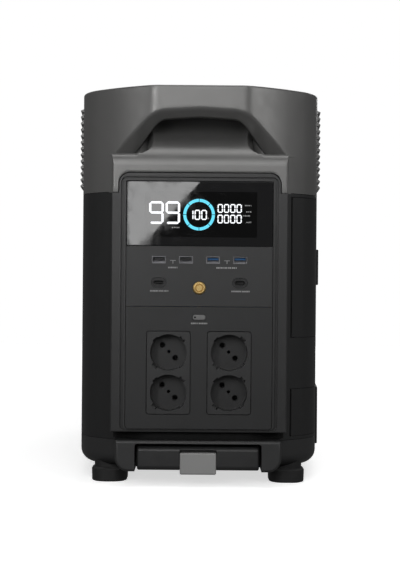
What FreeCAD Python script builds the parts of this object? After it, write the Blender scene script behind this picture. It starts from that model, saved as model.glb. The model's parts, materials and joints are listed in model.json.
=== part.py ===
import FreeCAD, Part
import Sketcher
import math
import os
from FreeCAD import Placement, Rotation, Vector

# Portable power station on two wheels and two feet.
# +X right, -Y front, +Z up; origin on the floor under the middle of the case.

doc = FreeCAD.newDocument("power_station")

# ---------------------------------------------------------------- driving dimensions, mm
DIMENSIONS = {
    # case
    "case_length": 635, "case_height": 417, "case_floor": 16,
    "wall": 3, "tray_top": 45, "seam_height": 307, "gap": 0.3,
    "top_round": 4, "bottom_round": 14,
    # plan outline of the case
    "end_setback": 10, "end_flat": 43, "ease_round": 28, "ease_angle": 25,
    "end_round": 250, "end_angle": 40, "corner_round": 53, "corner_angle": 85.2,
    # side ribs
    "rib_count": 13, "rib_pitch": 7.28, "rib_proud": 5.5, "rib_valley": 1.1,
    "rib_bottom": 321.4, "rib_half_length": 165,
    # end block that carries a console, and the grip above it
    "block_half": 91, "block_bottom": 304, "ledge_height": 347, "block_depth": 40,
    "arch_half": 84, "arch_top": 324.6, "arch_round": 12,
    "grip_depth": 52, "grip_roof": 402, "grip_bar_back": 28,
    # console frame and what it holds
    "frame_bottom": 57, "opening_half": 76, "opening_bottom": 60.2, "opening_top": 316.3,
    "panel_half": 75.6, "panel_front": 1.2, "panel_back": 4.4, "split_height": 186.6,
    "glass_bottom": 249, "glass_top": 315.8,
    "usb_height": 234.8, "usb_pitch": 28, "usb_c_height": 211, "usb_c_offset": 42,
    "power_height": 205.8, "power_radius": 6.5,
    "switch_height": 175.6, "switch_length": 13.3, "switch_breadth": 5.2,
    # mains sockets
    "module_offset": 31.3, "module_width": 44.5, "module_bottom": 75.9, "module_top": 160.8,
    "module_gap": 0.7, "module_flange": 2,
    "socket_radius": 18.85, "socket_depth": 17.5, "socket_high": 139.2, "socket_low": 97.6,
    "pin_pitch": 19, "pin_radius": 3.2,
    # foot block, trolley
    "foot_block_half": 86, "foot_block_top": 48.3,
    "recess_half": 65.6, "recess_depth": 36,
    "bar_half": 63.2, "bar_bottom": 17, "bar_top": 41.7, "bar_front": 3, "bar_back": 26,
    "tab_half": 18.8, "tab_bottom": 13.2, "tab_top": 35.5,
    "tube_offset": 50, "tube_height": 30, "tube_radius": 7, "tube_length": 400,
    # feet and wheels
    "foot_inner": 75.5, "foot_outer": 113.5, "foot_front": 33, "foot_back": 78, "foot_height": 13,
    "neck_front": 47, "neck_top": 27,
    # rubber rails on the right-hand side
    "rail_low": 31, "rail_high": 95, "rail_reach": 118, "pad_low": 210, "pad_high": 250, "rail_proud": 3,
    "wheel_radius": 42, "wheel_place": 225, "arch_radius": 50, "axle_radius": 5,
    "hub_radius": 30, "hub_inner": 100.5, "hub_outer": 125,
    # corner covers and the bays behind them
    "cover_skin": 2.6, "cover_edge": 98.9, "cover_depth": 113,
    "cover_low": 154, "cover_high": 303, "lower_cover_low": 49, "lower_cover_high": 99,
    "bay_floor": 92,
    # rear bay
    "bay_half": 60, "bay_low": 225, "bay_high": 300, "bay_depth": 32,
    # energy store and power electronics
    "cell_width": 94, "cell_thick": 43.5, "cell_pitch": 45.5, "cell_rows": 8,
    "cell_start": -193, "cell_bottom": 50, "cell_top": 198,
    "fan_size": 92, "fan_thick": 25, "fan_face": 129, "fan_height": 365,
}

sheet = doc.addObject("Spreadsheet::Sheet", "dims")
for row, (alias, number) in enumerate(DIMENSIONS.items(), start=1):
    sheet.set("A%d" % row, alias)
    sheet.set("B%d" % row, str(number))
    sheet.setAlias("B%d" % row, alias)
doc.recompute()


class Size:
    """A length that knows both its number and the sheet formula it comes from."""

    def __init__(self, number, formula):
        self.number = number
        self.formula = formula

    def __add__(self, other):
        other = as_size(other)
        return Size(self.number + other.number, "(%s + %s)" % (self.formula, other.formula))

    def __sub__(self, other):
        other = as_size(other)
        return Size(self.number - other.number, "(%s - %s)" % (self.formula, other.formula))

    def __mul__(self, other):
        other = as_size(other)
        return Size(self.number * other.number, "%s * %s" % (self.formula, other.formula))

    def __truediv__(self, other):
        other = as_size(other)
        return Size(self.number / other.number, "%s / %s" % (self.formula, other.formula))

    def __radd__(self, other):
        return as_size(other) + self

    def __rsub__(self, other):
        return as_size(other) - self

    def __rmul__(self, other):
        return as_size(other) * self

    def __neg__(self):
        return Size(-self.number, "(0 - %s)" % self.formula)

    def __float__(self):
        return float(self.number)


def as_size(value):
    return value if isinstance(value, Size) else Size(value, repr(float(value)))


class Dimensions:
    """Attribute access to the cells of the sheet."""

    def __getattr__(self, alias):
        return Size(float(getattr(sheet, alias)), "dims." + alias)


D = Dimensions()


def front(depth):
    """Y of a plane that lies `depth` behind the front-most plane."""
    return depth - D.case_length / 2


# ---------------------------------------------------------------- building blocks
counter = {}
NODES = {}


def fresh(kind, stem):
    """A new document object with a name of its own."""
    counter[stem] = counter.get(stem, 0) + 1
    return doc.addObject(kind, "%s_%d" % (stem, counter[stem]))


def bind(thing, prop, value):
    """Ties a property to the sheet."""
    thing.setExpression(prop, as_size(value).formula)


def place(thing, x, y, z, rotation=None):
    if rotation is not None:
        thing.Placement = Placement(Vector(0, 0, 0), rotation)
    for axis, value in (("x", x), ("y", y), ("z", z)):
        bind(thing, "Placement.Base." + axis, value)


def box(x0, x1, y0, y1, z0, z1):
    thing = fresh("Part::Box", "block")
    bind(thing, "Length", as_size(x1) - x0)
    bind(thing, "Width", as_size(y1) - y0)
    bind(thing, "Height", as_size(z1) - z0)
    place(thing, x0, y0, z0)
    return thing


TURN = {"x": Rotation(Vector(0, 1, 0), 90), "y": Rotation(Vector(1, 0, 0), -90), "z": Rotation()}


def rod(axis, radius, start, end, x=0, y=0, z=0):
    """A cylinder along an axis from start to end, through the other two coordinates."""
    thing = fresh("Part::Cylinder", "rod")
    bind(thing, "Radius", radius)
    bind(thing, "Height", as_size(end) - start)
    spot = {"x": x, "y": y, "z": z}
    spot[axis] = start
    place(thing, spot["x"], spot["y"], spot["z"], TURN[axis])
    return thing


def fuse(*things):
    thing = fresh("Part::MultiFuse", "joined")
    thing.Shapes = list(things)
    return thing


def cut(base, *tools):
    thing = fresh("Part::Cut", "cut")
    thing.Base = base
    thing.Tool = tools[0] if len(tools) == 1 else group(*tools)
    return thing


def common(first, second):
    thing = fresh("Part::Common", "overlap")
    thing.Base = first
    thing.Tool = second
    return thing


def group(*things):
    thing = fresh("Part::Compound", "set")
    thing.Links = list(things)
    return thing


def mirrored(source, normal):
    thing = fresh("Part::Mirroring", "mirror")
    thing.Source = source
    thing.Base = Vector(0, 0, 0)
    thing.Normal = normal
    return thing


LEFT_RIGHT = Vector(1, 0, 0)
FRONT_REAR = Vector(0, 1, 0)


def rounded(source, radius, chosen):
    """Fillets the edges that `chosen` picks from the finished source."""
    doc.recompute()
    picked = [i for i, edge in enumerate(source.Shape.Edges, start=1) if chosen(edge)]
    thing = fresh("Part::Fillet", "round")
    thing.Base = source
    thing.Edges = [(i, float(radius), float(radius)) for i in picked]
    return thing


def parallel(axis):
    """Picks straight edges along an axis."""
    along = {"x": Vector(1, 0, 0), "y": Vector(0, 1, 0), "z": Vector(0, 0, 1)}[axis]

    def chosen(edge):
        run = edge.Vertexes[-1].Point - edge.Vertexes[0].Point
        return len(edge.Vertexes) == 2 and run.Length > 0 and abs(run.normalize() * along) > 0.999
    return chosen


def level(height):
    """Picks edges that lie whole at one height."""
    height = float(height)
    return lambda edge: abs(edge.BoundBox.ZMin - height) < 1e-3 and abs(edge.BoundBox.ZMax - height) < 1e-3


def across(depth):
    """Picks edges that lie whole in one plane across the case."""
    depth = float(depth)
    return lambda edge: abs(edge.BoundBox.YMin - depth) < 1e-3 and abs(edge.BoundBox.YMax - depth) < 1e-3


def soft_box(x0, x1, y0, y1, z0, z1, radius, axis="y"):
    """A box whose four edges along one axis are rounded."""
    return rounded(box(x0, x1, y0, y1, z0, z1), radius, parallel(axis))


def pill(length, breadth, y0, y1, x, z):
    """A bar with round ends, seen along Y."""
    radius = as_size(breadth) / 2
    reach = as_size(length) / 2 - radius
    x = as_size(x)
    return fuse(box(x - reach, x + reach, y0, y1, z - radius, z + radius),
                rod("y", radius, y0, y1, x - reach, 0, z), rod("y", radius, y0, y1, x + reach, 0, z))


def turned(name, points, axis):
    """A body of revolution: (along, radius) points about its own X or Y axis."""
    body = doc.addObject("PartDesign::Body", name + "_body")
    sketch = body.newObject("Sketcher::SketchObject", name + "_profile")
    role = {"x": "XZ_Plane", "y": "YZ_Plane"}[axis]
    plane = [item for item in body.Origin.OriginFeatures if item.Role == role][0]
    sketch.AttachmentSupport = [(plane, "")]
    sketch.MapMode = "FlatFace"
    corners = [(as_size(along), as_size(radius)) for along, radius in points]
    ends = corners[1:] + corners[:1]
    for (a0, r0), (a1, r1) in zip(corners, ends):
        sketch.addGeometry(Part.LineSegment(Vector(a0.number, r0.number, 0),
                                            Vector(a1.number, r1.number, 0)))
    for i, (along, radius) in enumerate(corners):
        sketch.addConstraint(Sketcher.Constraint("Coincident", i, 2, (i + 1) % len(corners), 1))
        for kind, value, axis_id in (("DistanceX", along, -2), ("DistanceY", radius, -1)):
            if value.number == 0:
                sketch.addConstraint(Sketcher.Constraint("PointOnObject", i, 1, axis_id))
                continue
            index = sketch.addConstraint(Sketcher.Constraint(kind, -1, 1, i, 1, value.number))
            sketch.setExpression("Constraints[%d]" % index, value.formula)
    turn = body.newObject("PartDesign::Revolution", name + "_turn")
    turn.Profile = (sketch, [""])
    turn.ReferenceAxis = (sketch, ["H_Axis"])
    turn.Angle = 360
    return body


def node(name, thing):
    """Names a finished sub-part."""
    thing.Label = name
    NODES[name] = thing
    return thing


# ---------------------------------------------------------------- plan outline of the case
class Arc:
    """One arc of the plan, from heading a0 to heading a1 (degrees, 0 along +X)."""

    def __init__(self, start, radius, a0, a1):
        self.radius, self.a0, self.a1 = radius, a0, a1
        turn = math.radians(a0)
        self.centre = (start[0] - radius * math.sin(turn), start[1] + radius * math.cos(turn))

    def at(self, heading, inset=0.0):
        turn = math.radians(heading)
        reach = self.radius - inset
        return self.centre[0] + reach * math.sin(turn), self.centre[1] - reach * math.cos(turn)


def plan_arcs():
    """The front right quarter of the plan: easing, end, corner and side arcs, tangent in turn."""
    half = float(D.case_length) / 2
    first_y = float(D.end_setback) - half
    ease = Arc((float(D.end_flat), first_y), float(D.ease_round), 0, float(D.ease_angle))
    end = Arc(ease.at(ease.a1), float(D.end_round), ease.a1, float(D.end_angle))
    corner = Arc(end.at(end.a1), float(D.corner_round), end.a1, float(D.corner_angle))
    last = corner.at(corner.a1)
    side = Arc(last, -last[1] / math.cos(math.radians(corner.a1)), corner.a1, 90)
    return [ease, end, corner, side]


ARCS = plan_arcs()
SIDE = ARCS[-1]


def outline(name, inset, z):
    """The closed plan wire, drawn in from the case's skin by `inset`."""
    first_y = float(D.end_setback) + inset - float(D.case_length) / 2
    edges = []
    for sx in (1, -1):
        for sy in (1, -1):
            flat_end = Vector(sx * float(D.end_flat), sy * first_y, z)
            edges.append(Part.LineSegment(Vector(0, sy * first_y, z), flat_end).toShape())
            for arc in ARCS:
                spots = [arc.at(a, inset) for a in (arc.a0, (arc.a0 + arc.a1) / 2, arc.a1)]
                points = [Vector(sx * x, sy * y, z) for x, y in spots]
                edges.append(Part.Arc(*points).toShape())
    thing = doc.addObject("Part::Feature", name)
    thing.Shape = Part.Wire(Part.__sortEdges__(edges))
    return thing


def prism(inset, z0, z1):
    """The plan outline raised from z0 to z1."""
    thing = fresh("Part::Extrusion", "prism")
    thing.Base = outline(thing.Name + "_plan", inset, float(as_size(z0)))
    thing.DirMode = "Custom"
    thing.Dir = Vector(0, 0, 1)
    thing.Solid = True
    bind(thing, "LengthFwd", as_size(z1) - z0)
    return thing


def polygon_prism(name, corners, y0, y1):
    """A prism along Y over a polygon of (x, z) corners."""
    points = [Vector(float(as_size(x)), float(as_size(y0)), float(as_size(z))) for x, z in corners]
    sheet_face = doc.addObject("Part::Feature", name + "_face")
    sheet_face.Shape = Part.Face(Part.makePolygon(points + points[:1]))
    thing = fresh("Part::Extrusion", "prism")
    thing.Base = sheet_face
    thing.DirMode = "Custom"
    thing.Dir = Vector(0, 1, 0)
    bind(thing, "LengthFwd", as_size(y1) - y0)
    return thing


def both_sides(half):
    """A left-right symmetric polygon from its right half, listed upwards."""
    return half + [(-x, z) for x, z in reversed(half) if x]


# ---------------------------------------------------------------- upper shell with its two grips
RIDGE = [(90.0, 33.0), (53.6, 12.3), (41.0, 10.0), (0.0, 10.0)]
RIDGE_HEIGHTS = [347.0, 385.4, 389.7, 392.4]
LIP = [(63.0, 347.0), (46.4, 376.0), (38.0, 381.5), (0.0, 384.6)]
LIP_DEPTH = 36.0
LIP_SLOPE = 0.479


def facet_cutter():
    """What is taken off above the ledge: the bevelled facets between the outer ridge and the lip."""
    base = float(D.ledge_height)
    ahead = float(front(-5))

    def corner(x, depth, z):
        return Vector(x, float(front(depth)), z)

    outer = [corner(x, t, z) for (x, t), z in zip(RIDGE, RIDGE_HEIGHTS)]
    inner = [corner(x, LIP_DEPTH - LIP_SLOPE * (z - base), z) for x, z in LIP]
    open_side = [Vector(p.x, ahead, p.z) for p in outer]

    def flip(points):
        return [Vector(-p.x, p.y, p.z) for p in reversed(points[:-1])]

    rings = [points + flip(points) for points in (open_side, outer, inner)]
    faces = []
    for low, high in zip(rings[:-1], rings[1:]):
        for i in range(len(low) - 1):
            faces.append([low[i], low[i + 1], high[i + 1]])
            faces.append([low[i], high[i + 1], high[i]])
    faces.append(rings[0])
    faces.append(rings[2])
    bottom = [rings[0][0], rings[1][0], rings[2][0], rings[2][-1], rings[1][-1], rings[0][-1]]
    faces.append(bottom)
    shell = Part.Shell([Part.Face(Part.makePolygon(points + points[:1])) for points in faces])
    thing = doc.addObject("Part::Feature", "facets")
    solid = Part.Solid(shell)
    if solid.Volume < 0:
        solid.reverse()
    thing.Shape = solid
    return thing


def scoop_cutter():
    """The hand pocket: a scooped floor that sweeps up to the back wall, and room behind the bar."""
    lip = polygon_prism("lip", both_sides(LIP), front(-5), front(D.grip_depth))
    sweep = D.grip_depth - 14
    centre_y = front(14)
    centre_z = D.ledge_height + sweep
    above_floor = fuse(
        rod("x", sweep, -D.block_half, D.block_half, 0, centre_y, centre_z),
        box(-D.block_half, D.block_half, front(-5), centre_y, D.ledge_height, D.case_height),
        box(-D.block_half, D.block_half, front(-5), front(D.grip_depth), centre_z, D.case_height))
    behind_bar = soft_box(-44, 44, front(D.grip_bar_back), front(D.grip_depth), 370, D.grip_roof, 6, "y")
    return fuse(common(lip, above_floor), behind_bar)


def end_block(bottom, top, half, depth, side_round, top_round):
    """A block that stands forward of the case's end."""
    raw = box(-half, half, front(0), front(depth), bottom, top)
    doc.recompute()
    left_right = rounded(raw, side_round, lambda e: parallel("z")(e) and across(front(0))(e))
    return rounded(left_right, top_round, lambda e: across(front(0))(e) and level(top)(e))


TOP_RIB = 3.6       # the top rib is shorter than the others


def upper_shell():
    body = rounded(prism(0, D.seam_height, D.case_height), D.top_round, level(D.case_height))
    block = end_block(D.block_bottom, D.ledge_height, D.block_half, D.block_depth, 2.5, 6)
    solid = fuse(body, block, mirrored(block, FRONT_REAR))
    inside = prism(D.wall, D.seam_height - 10, D.case_height - D.wall)
    block_inside = box(-D.block_half + 3, D.block_half - 3, front(3), front(60), D.arch_top + 3,
                       D.ledge_height - 3.2)
    tub = polygon_prism("grip_tub", both_sides([(96.0, 343.8), (60.0, 392.0), (60.0, 420.0)]),
                        front(-5), front(D.grip_depth + 3))
    hollow = cut(fuse(inside, block_inside, mirrored(block_inside, FRONT_REAR)),
                 tub, mirrored(tub, FRONT_REAR))
    arch = rounded(box(-D.arch_half - D.gap, D.arch_half + D.gap, front(-2), front(70), 290,
                       D.arch_top + D.gap), D.arch_round,
                   lambda e: parallel("y")(e) and level(D.arch_top + D.gap)(e))
    below = box(-D.block_half - 1, D.block_half + 1, front(-2), front(70), 290, D.block_bottom)
    end_cuts = fuse(facet_cutter(), scoop_cutter())
    side_window = box(120, 150, -D.rib_half_length - 1, D.rib_half_length + 1, D.rib_bottom - D.gap,
                      D.rib_bottom + (D.rib_count - 1) * D.rib_pitch + TOP_RIB + D.gap)
    tools = [hollow, arch, mirrored(arch, FRONT_REAR), below, mirrored(below, FRONT_REAR), end_cuts,
             mirrored(end_cuts, FRONT_REAR), side_window, mirrored(side_window, LEFT_RIGHT)]
    shape = solid
    for tool in tools:
        shape = cut(shape, tool)
    return shape


def side_grille():
    """Right-hand ribbed grille: saw-tooth louvres turned about the middle of the side arc."""
    radius = SIDE.radius
    centre = SIDE.centre[0]
    low = float(D.rib_bottom)
    pitch = float(D.rib_pitch)
    skin = centre + radius
    points = [Vector(skin - 3, 0, low)]
    for i in range(int(float(D.rib_count))):
        z = low + i * pitch
        points.append(Vector(skin + float(D.rib_valley), 0, z))
        points.append(Vector(skin + float(D.rib_proud), 0, z + 0.9))
        points.append(Vector(skin + float(D.rib_proud), 0, z + 1.9))
        points.append(Vector(skin + float(D.rib_valley), 0, z + pitch - 1.2))
    points[-1].z = z + TOP_RIB
    points.append(Vector(skin - 3, 0, points[-1].z))
    profile = doc.addObject("Part::Feature", "louvre_profile")
    profile.Shape = Part.Face(Part.makePolygon(points + points[:1]))
    turn = fresh("Part::Revolution", "louvres")
    turn.Source = profile
    turn.Base = Vector(centre, 0, 0)
    turn.Axis = Vector(0, 0, 1)
    turn.Symmetric = True
    turn.Angle = 2 * math.degrees(float(D.rib_half_length) / radius)
    slots = []
    for i in range(1, int(float(D.rib_count))):
        for j in range(-2, 3):
            middle = j * 66.0
            z = low + i * pitch - 1.1
            slots.append(box(120, 160, middle - 27, middle + 27, z, z + 1.0))
    return cut(turn, *slots)


node("hood_shell", upper_shell())
grille = side_grille()
node("side_grille_right", grille)
node("side_grille_left", mirrored(grille, LEFT_RIGHT))


# ---------------------------------------------------------------- lower shell and tray
def wheel_cutter():
    return rod("x", D.arch_radius + D.gap, 95.7, 160, 0, D.wheel_place, D.wheel_radius)


def corner_window(low, high):
    """The opening behind a corner cover, on the front right corner."""
    return box(D.cover_edge - 1.7, 150, front(10), front(D.cover_depth + 0.4), as_size(low) - D.gap,
               as_size(high) + D.gap)


def lower_shell():
    wall = cut(prism(0, D.tray_top + 0.2, D.seam_height - 0.2),
               prism(D.wall, D.tray_top - 5, D.seam_height + 5))
    notch = box(-D.block_half - 0.2, D.block_half + 0.2, front(-5), front(70), D.frame_bottom - 0.2,
                D.seam_height + 5)
    wells = wheel_cutter()
    return cut(wall, notch, mirrored(notch, FRONT_REAR), wells, mirrored(wells, LEFT_RIGHT),
               corner_window(D.cover_low, D.cover_high),
               corner_window(D.lower_cover_low, D.lower_cover_high))


SCREW_PLACES = [(60, -205), (60, -60), (60, 90), (60, 262), (-60, -205), (-60, -60), (-60, 90), (-60, 262)]


def tray_outside():
    """The outer form of the tray with its two end blocks."""
    bowl = rounded(prism(0, D.case_floor, D.tray_top), D.bottom_round, level(D.case_floor))
    raw = box(-D.foot_block_half, D.foot_block_half, front(0), front(D.block_depth), D.case_floor,
              D.foot_block_top)
    doc.recompute()
    low_corners = rounded(raw, 14, lambda e: parallel("y")(e) and level(D.case_floor)(e))
    block = rounded(low_corners, 3, across(front(0)))
    trimmed = cut(block, prism(-0.2, D.tray_top, D.foot_block_top + 5))
    return fuse(bowl, trimmed, mirrored(trimmed, FRONT_REAR))


def base_tray():
    outside = tray_outside()
    inner_bottom = D.case_floor + D.wall
    bowl = rounded(prism(D.wall, inner_bottom, D.foot_block_top + 5), D.bottom_round - D.wall,
                   level(inner_bottom))
    keep = box(-D.foot_block_half, D.foot_block_half, front(-5), front(D.recess_depth + 4), 0, 60)
    hollow = cut(bowl, keep)
    rear_hollow = box(-D.foot_block_half + 4, D.foot_block_half - 4, -front(60), -front(4),
                      inner_bottom + 6, D.tray_top)
    recess = rounded(box(-D.recess_half, D.recess_half, front(-5), front(D.recess_depth), 0, D.tray_top),
                     3, lambda e: parallel("y")(e) and level(D.tray_top)(e))
    wells = wheel_cutter()
    guides = [rod("y", 9.1, front(20), front(60), sx * D.tube_offset, 0, D.tube_height) for sx in (1, -1)]
    heads = [rod("z", 3.3, 10, D.case_floor + 1.6, x, y) for x, y in SCREW_PLACES]
    shanks = [rod("z", 1.7, 10, 30, x, y) for x, y in SCREW_PLACES]
    shell = outside
    for tool in [hollow, rear_hollow, recess, wells, mirrored(wells, LEFT_RIGHT)]:
        shell = cut(shell, tool)
    saddles = []
    for sx in (1, -1):
        for depth in (120, 380):
            saddle = box(sx * D.tube_offset - 13, sx * D.tube_offset + 13, front(depth), front(depth + 10),
                         D.case_floor + 1, D.tube_height + 11)
            saddles.append(cut(saddle, rod("y", 9.1, front(depth - 5), front(depth + 15),
                                           sx * D.tube_offset, 0, D.tube_height)))
        bearer = box(sx * 87 - 6, sx * 87 + 6, D.wheel_place - 11, D.wheel_place + 11, D.case_floor + 1,
                     D.wheel_radius + 11)
        saddles.append(cut(bearer, rod("x", D.axle_radius + 0.04, sx * 87 - 10, sx * 87 + 10, 0,
                                       D.wheel_place, D.wheel_radius)))
    whole = fuse(shell, *saddles)
    return cut(whole, *(guides + heads + shanks))


def screws():
    made = []
    for x, y in SCREW_PLACES:
        made.append(fuse(rod("z", 3.1, D.case_floor + 0.2, D.case_floor + 1.6, x, y),
                         rod("z", 1.5, D.case_floor + 1.4, 27, x, y)))
    return group(*made)


def wheel_arch():
    """A cup that closes the wheel well off from the inside of the case."""
    cup = cut(rod("x", D.arch_radius, 96, 150, 0, D.wheel_place, D.wheel_radius),
              rod("x", D.arch_radius - 3, 99, 160, 0, D.wheel_place, D.wheel_radius),
              rod("x", D.axle_radius + 0.3, 90, 110, 0, D.wheel_place, D.wheel_radius))
    return common(cup, prism(0, D.case_floor + 0.2, 120))


def foot_pad(sx, depth, bottom, top, shrink, radius):
    """One level of a foot: a block with round upright corners."""
    inner, outer = D.foot_inner + shrink, D.foot_outer - shrink
    x0, x1 = (inner, outer) if sx > 0 else (-outer, -inner)
    raw = box(x0, x1, front(depth), front(D.foot_back - shrink), bottom, top)
    doc.recompute()
    return rounded(raw, radius, parallel("z"))


def feet():
    made = []
    for sx in (1, -1):
        pad = rounded(foot_pad(sx, D.foot_front, 0, D.foot_height, 0, 15), 1.5, level(0))
        neck = foot_pad(sx, D.neck_front, D.foot_height - 1, D.neck_top, 2, 12)
        made.append(cut(fuse(pad, neck), tray_outside()))
    return group(*made)


def side_rail(low, high, reach):
    """A rubber rail that stands proud of the right-hand side of the case."""
    strip = cut(prism(-D.rail_proud.number, low, high), prism(0, low - 6, high + 5))
    zone = box(100, 150, front(D.rail_reach), reach, low, high)
    return rounded(common(strip, zone), 1.2, lambda e: e.BoundBox.XMin > 130 and e.Length > 30
                   and e.CenterOfMass.x > SIDE_OUTER)


SIDE_OUTER = 135.0

node("lower_shell", lower_shell())
node("base_tray", base_tray())
node("tray_screws", screws())
arch = wheel_arch()
node("wheel_arches", group(arch, mirrored(arch, LEFT_RIGHT)))
node("front_feet", feet())
node("side_bumpers", group(side_rail(D.rail_low, D.rail_high, D.rail_reach),
                           side_rail(D.pad_low, D.pad_high, -60)))


# ---------------------------------------------------------------- console frames
def console_frame():
    lower = box(-D.block_half, D.block_half, front(0), front(D.block_depth), D.frame_bottom,
                D.block_bottom - D.gap)
    arch_block = rounded(box(-D.arch_half, D.arch_half, front(0), front(D.block_depth),
                             D.block_bottom - 10, D.arch_top), D.arch_round,
                         lambda e: parallel("y")(e) and level(D.arch_top)(e))
    body = rounded(fuse(lower, arch_block), 1.4, lambda e: across(front(0))(e) and e.Length > 8)
    opening = rounded(rounded(box(-D.opening_half, D.opening_half, front(-2),
                                  front(D.panel_back + 0.2), D.opening_bottom, D.opening_top), 4,
                              lambda e: parallel("y")(e) and level(D.opening_bottom)(e)), 1.6,
                      lambda e: parallel("y")(e) and level(D.opening_top)(e))
    throat = box(-D.opening_half + 4, D.opening_half - 4, front(2), front(60), D.opening_bottom + 3,
                 D.opening_top - 3)
    back = box(-D.block_half + 3, D.block_half - 3, front(9), front(60), D.frame_bottom + 3,
               D.block_bottom - 4)
    back_top = box(-D.arch_half + 3, D.arch_half - 3, front(9), front(60), D.block_bottom - 10,
                   D.arch_top - 6)
    groove = cut(soft_box(-D.opening_half - 5.2, D.opening_half + 5.2, front(-2), front(2.6),
                          D.opening_bottom - 1.6, D.opening_top + 4, 6),
                 soft_box(-D.opening_half - 2, D.opening_half + 2, front(-3), front(3),
                          D.opening_bottom - 0.2, D.opening_top + 1.2, 4.5))
    shape = body
    for tool in (opening, throat, back, back_top, groove):
        shape = cut(shape, tool)
    return shape


frame = console_frame()
node("console_frame", frame)
node("rear_frame", mirrored(frame, FRONT_REAR))


# ---------------------------------------------------------------- front console
def plate(low, high, corner_radius):
    return soft_box(-D.panel_half, D.panel_half, front(D.panel_front), front(D.panel_back), low, high,
                    corner_radius)


USB_PLACES = [-1.5, -0.5, 0.5, 1.5]
USB_WIDTH, USB_TALL, USB_C_WIDTH, USB_C_TALL = 14.0, 7.2, 15.8, 10.3


def usb_x(index):
    return D.usb_pitch * USB_PLACES[index]


def usb_box(index, grow, y0, y1):
    """The outline of one rectangular USB mouth, grown on every side."""
    x = usb_x(index)
    half_w, half_t = USB_WIDTH / 2 + grow, USB_TALL / 2 + grow
    return box(x - half_w, x + half_w, y0, y1, D.usb_height - half_t, D.usb_height + half_t)


def front_panel():
    cuts = [usb_box(i, 0.1, front(0), front(8)) for i in range(4)]
    cuts += [pill(USB_C_WIDTH + 0.3, USB_C_TALL + 0.3, front(0), front(8), sx * D.usb_c_offset,
                  D.usb_c_height) for sx in (1, -1)]
    cuts.append(rod("y", D.power_radius + 0.35, front(0), front(8), 0, 0, D.power_height))
    return cut(plate(D.split_height + 0.2, D.glass_bottom - 0.2, 0.8), *cuts)


def ac_panel():
    raw = box(-D.panel_half, D.panel_half, front(0.9), front(D.panel_back), D.opening_bottom + 0.3,
              D.split_height - 0.2)
    doc.recompute()
    panel = rounded(raw, 3.6, lambda e: parallel("y")(e) and level(D.opening_bottom + 0.3)(e))
    half = D.module_width / 2 + D.module_gap
    cuts = [soft_box(sx * D.module_offset - half, sx * D.module_offset + half, front(-1), front(8),
                     D.module_bottom - D.module_gap, D.module_top + D.module_gap, 3.2) for sx in (1, -1)]
    cuts.append(pill(D.switch_length + 0.6, D.switch_breadth + 0.6, front(-1), front(8), 0,
                     D.switch_height))
    return cut(panel, *cuts)


def usb_shells():
    return group(*[cut(usb_box(i, 0, front(D.panel_front + 0.3), front(16)),
                       usb_box(i, -0.6, front(0), front(15))) for i in range(4)])


def usb_tongues(indices):
    made = []
    for i in indices:
        x = usb_x(i)
        made.append(box(x - 5.6, x + 5.6, front(6.6), front(14.9), D.usb_height + 0.1,
                        D.usb_height + 2.2))
    return group(*made)


def usb_c_ports():
    made = []
    for sx in (1, -1):
        x = sx * D.usb_c_offset
        body = cut(pill(USB_C_WIDTH, USB_C_TALL, front(1.6), front(14), x, D.usb_c_height),
                   pill(10.4, 4.6, front(0), front(9), x, D.usb_c_height))
        made.append(fuse(body, box(x - 3.3, x + 3.3, front(4.6), front(10), D.usb_c_height - 0.35,
                                   D.usb_c_height + 0.35)))
    return group(*made)


def power_button():
    r = D.power_radius
    points = [(0, 0), (0, r - 3.4), (0.5, r - 2.8), (-0.3, r - 2.2), (-0.3, r - 1.4), (0.1, r - 0.4),
              (0.7, r), (5.2, r), (5.2, r + 1.5), (6.4, r + 1.5), (6.4, 0)]
    body = turned("power_button", points, "y")
    place(body, 0, front(0.4), D.power_height)
    return body


def ac_button():
    face = rounded(pill(D.switch_length, D.switch_breadth, front(0.1), front(5.4), 0, D.switch_height),
                   0.5, lambda e: across(front(0.1))(e))
    flange = pill(D.switch_length + 2.4, D.switch_breadth + 2.4, front(5.2), front(6.4), 0,
                  D.switch_height)
    return fuse(face, flange)


def at_angle(radius, degrees):
    turn = math.radians(degrees)
    return as_size(radius) * math.cos(turn), as_size(radius) * math.sin(turn)


NOTCH_REACH, NOTCH_HALF = 21.2, 3.2
PIN_AXIS, CLIP_AXIS = 135, 45


def radial_box(x, z, angle, inner, outer, half, y0, y1):
    """A box that points away from (x, z) at an angle, seen along Y."""
    thing = fresh("Part::Box", "radial")
    bind(thing, "Length", as_size(outer) - inner)
    bind(thing, "Width", as_size(y1) - y0)
    bind(thing, "Height", as_size(half) * 2)
    turn = Rotation(Vector(0, 1, 0), -angle)
    thing.Placement = Placement(Vector(0, 0, 0), turn)
    rad = math.radians(angle)
    inner, half = as_size(inner), as_size(half)
    place(thing, x + inner * math.cos(rad) + half * math.sin(rad), y0,
          z + inner * math.sin(rad) - half * math.cos(rad), turn)
    return thing


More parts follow.
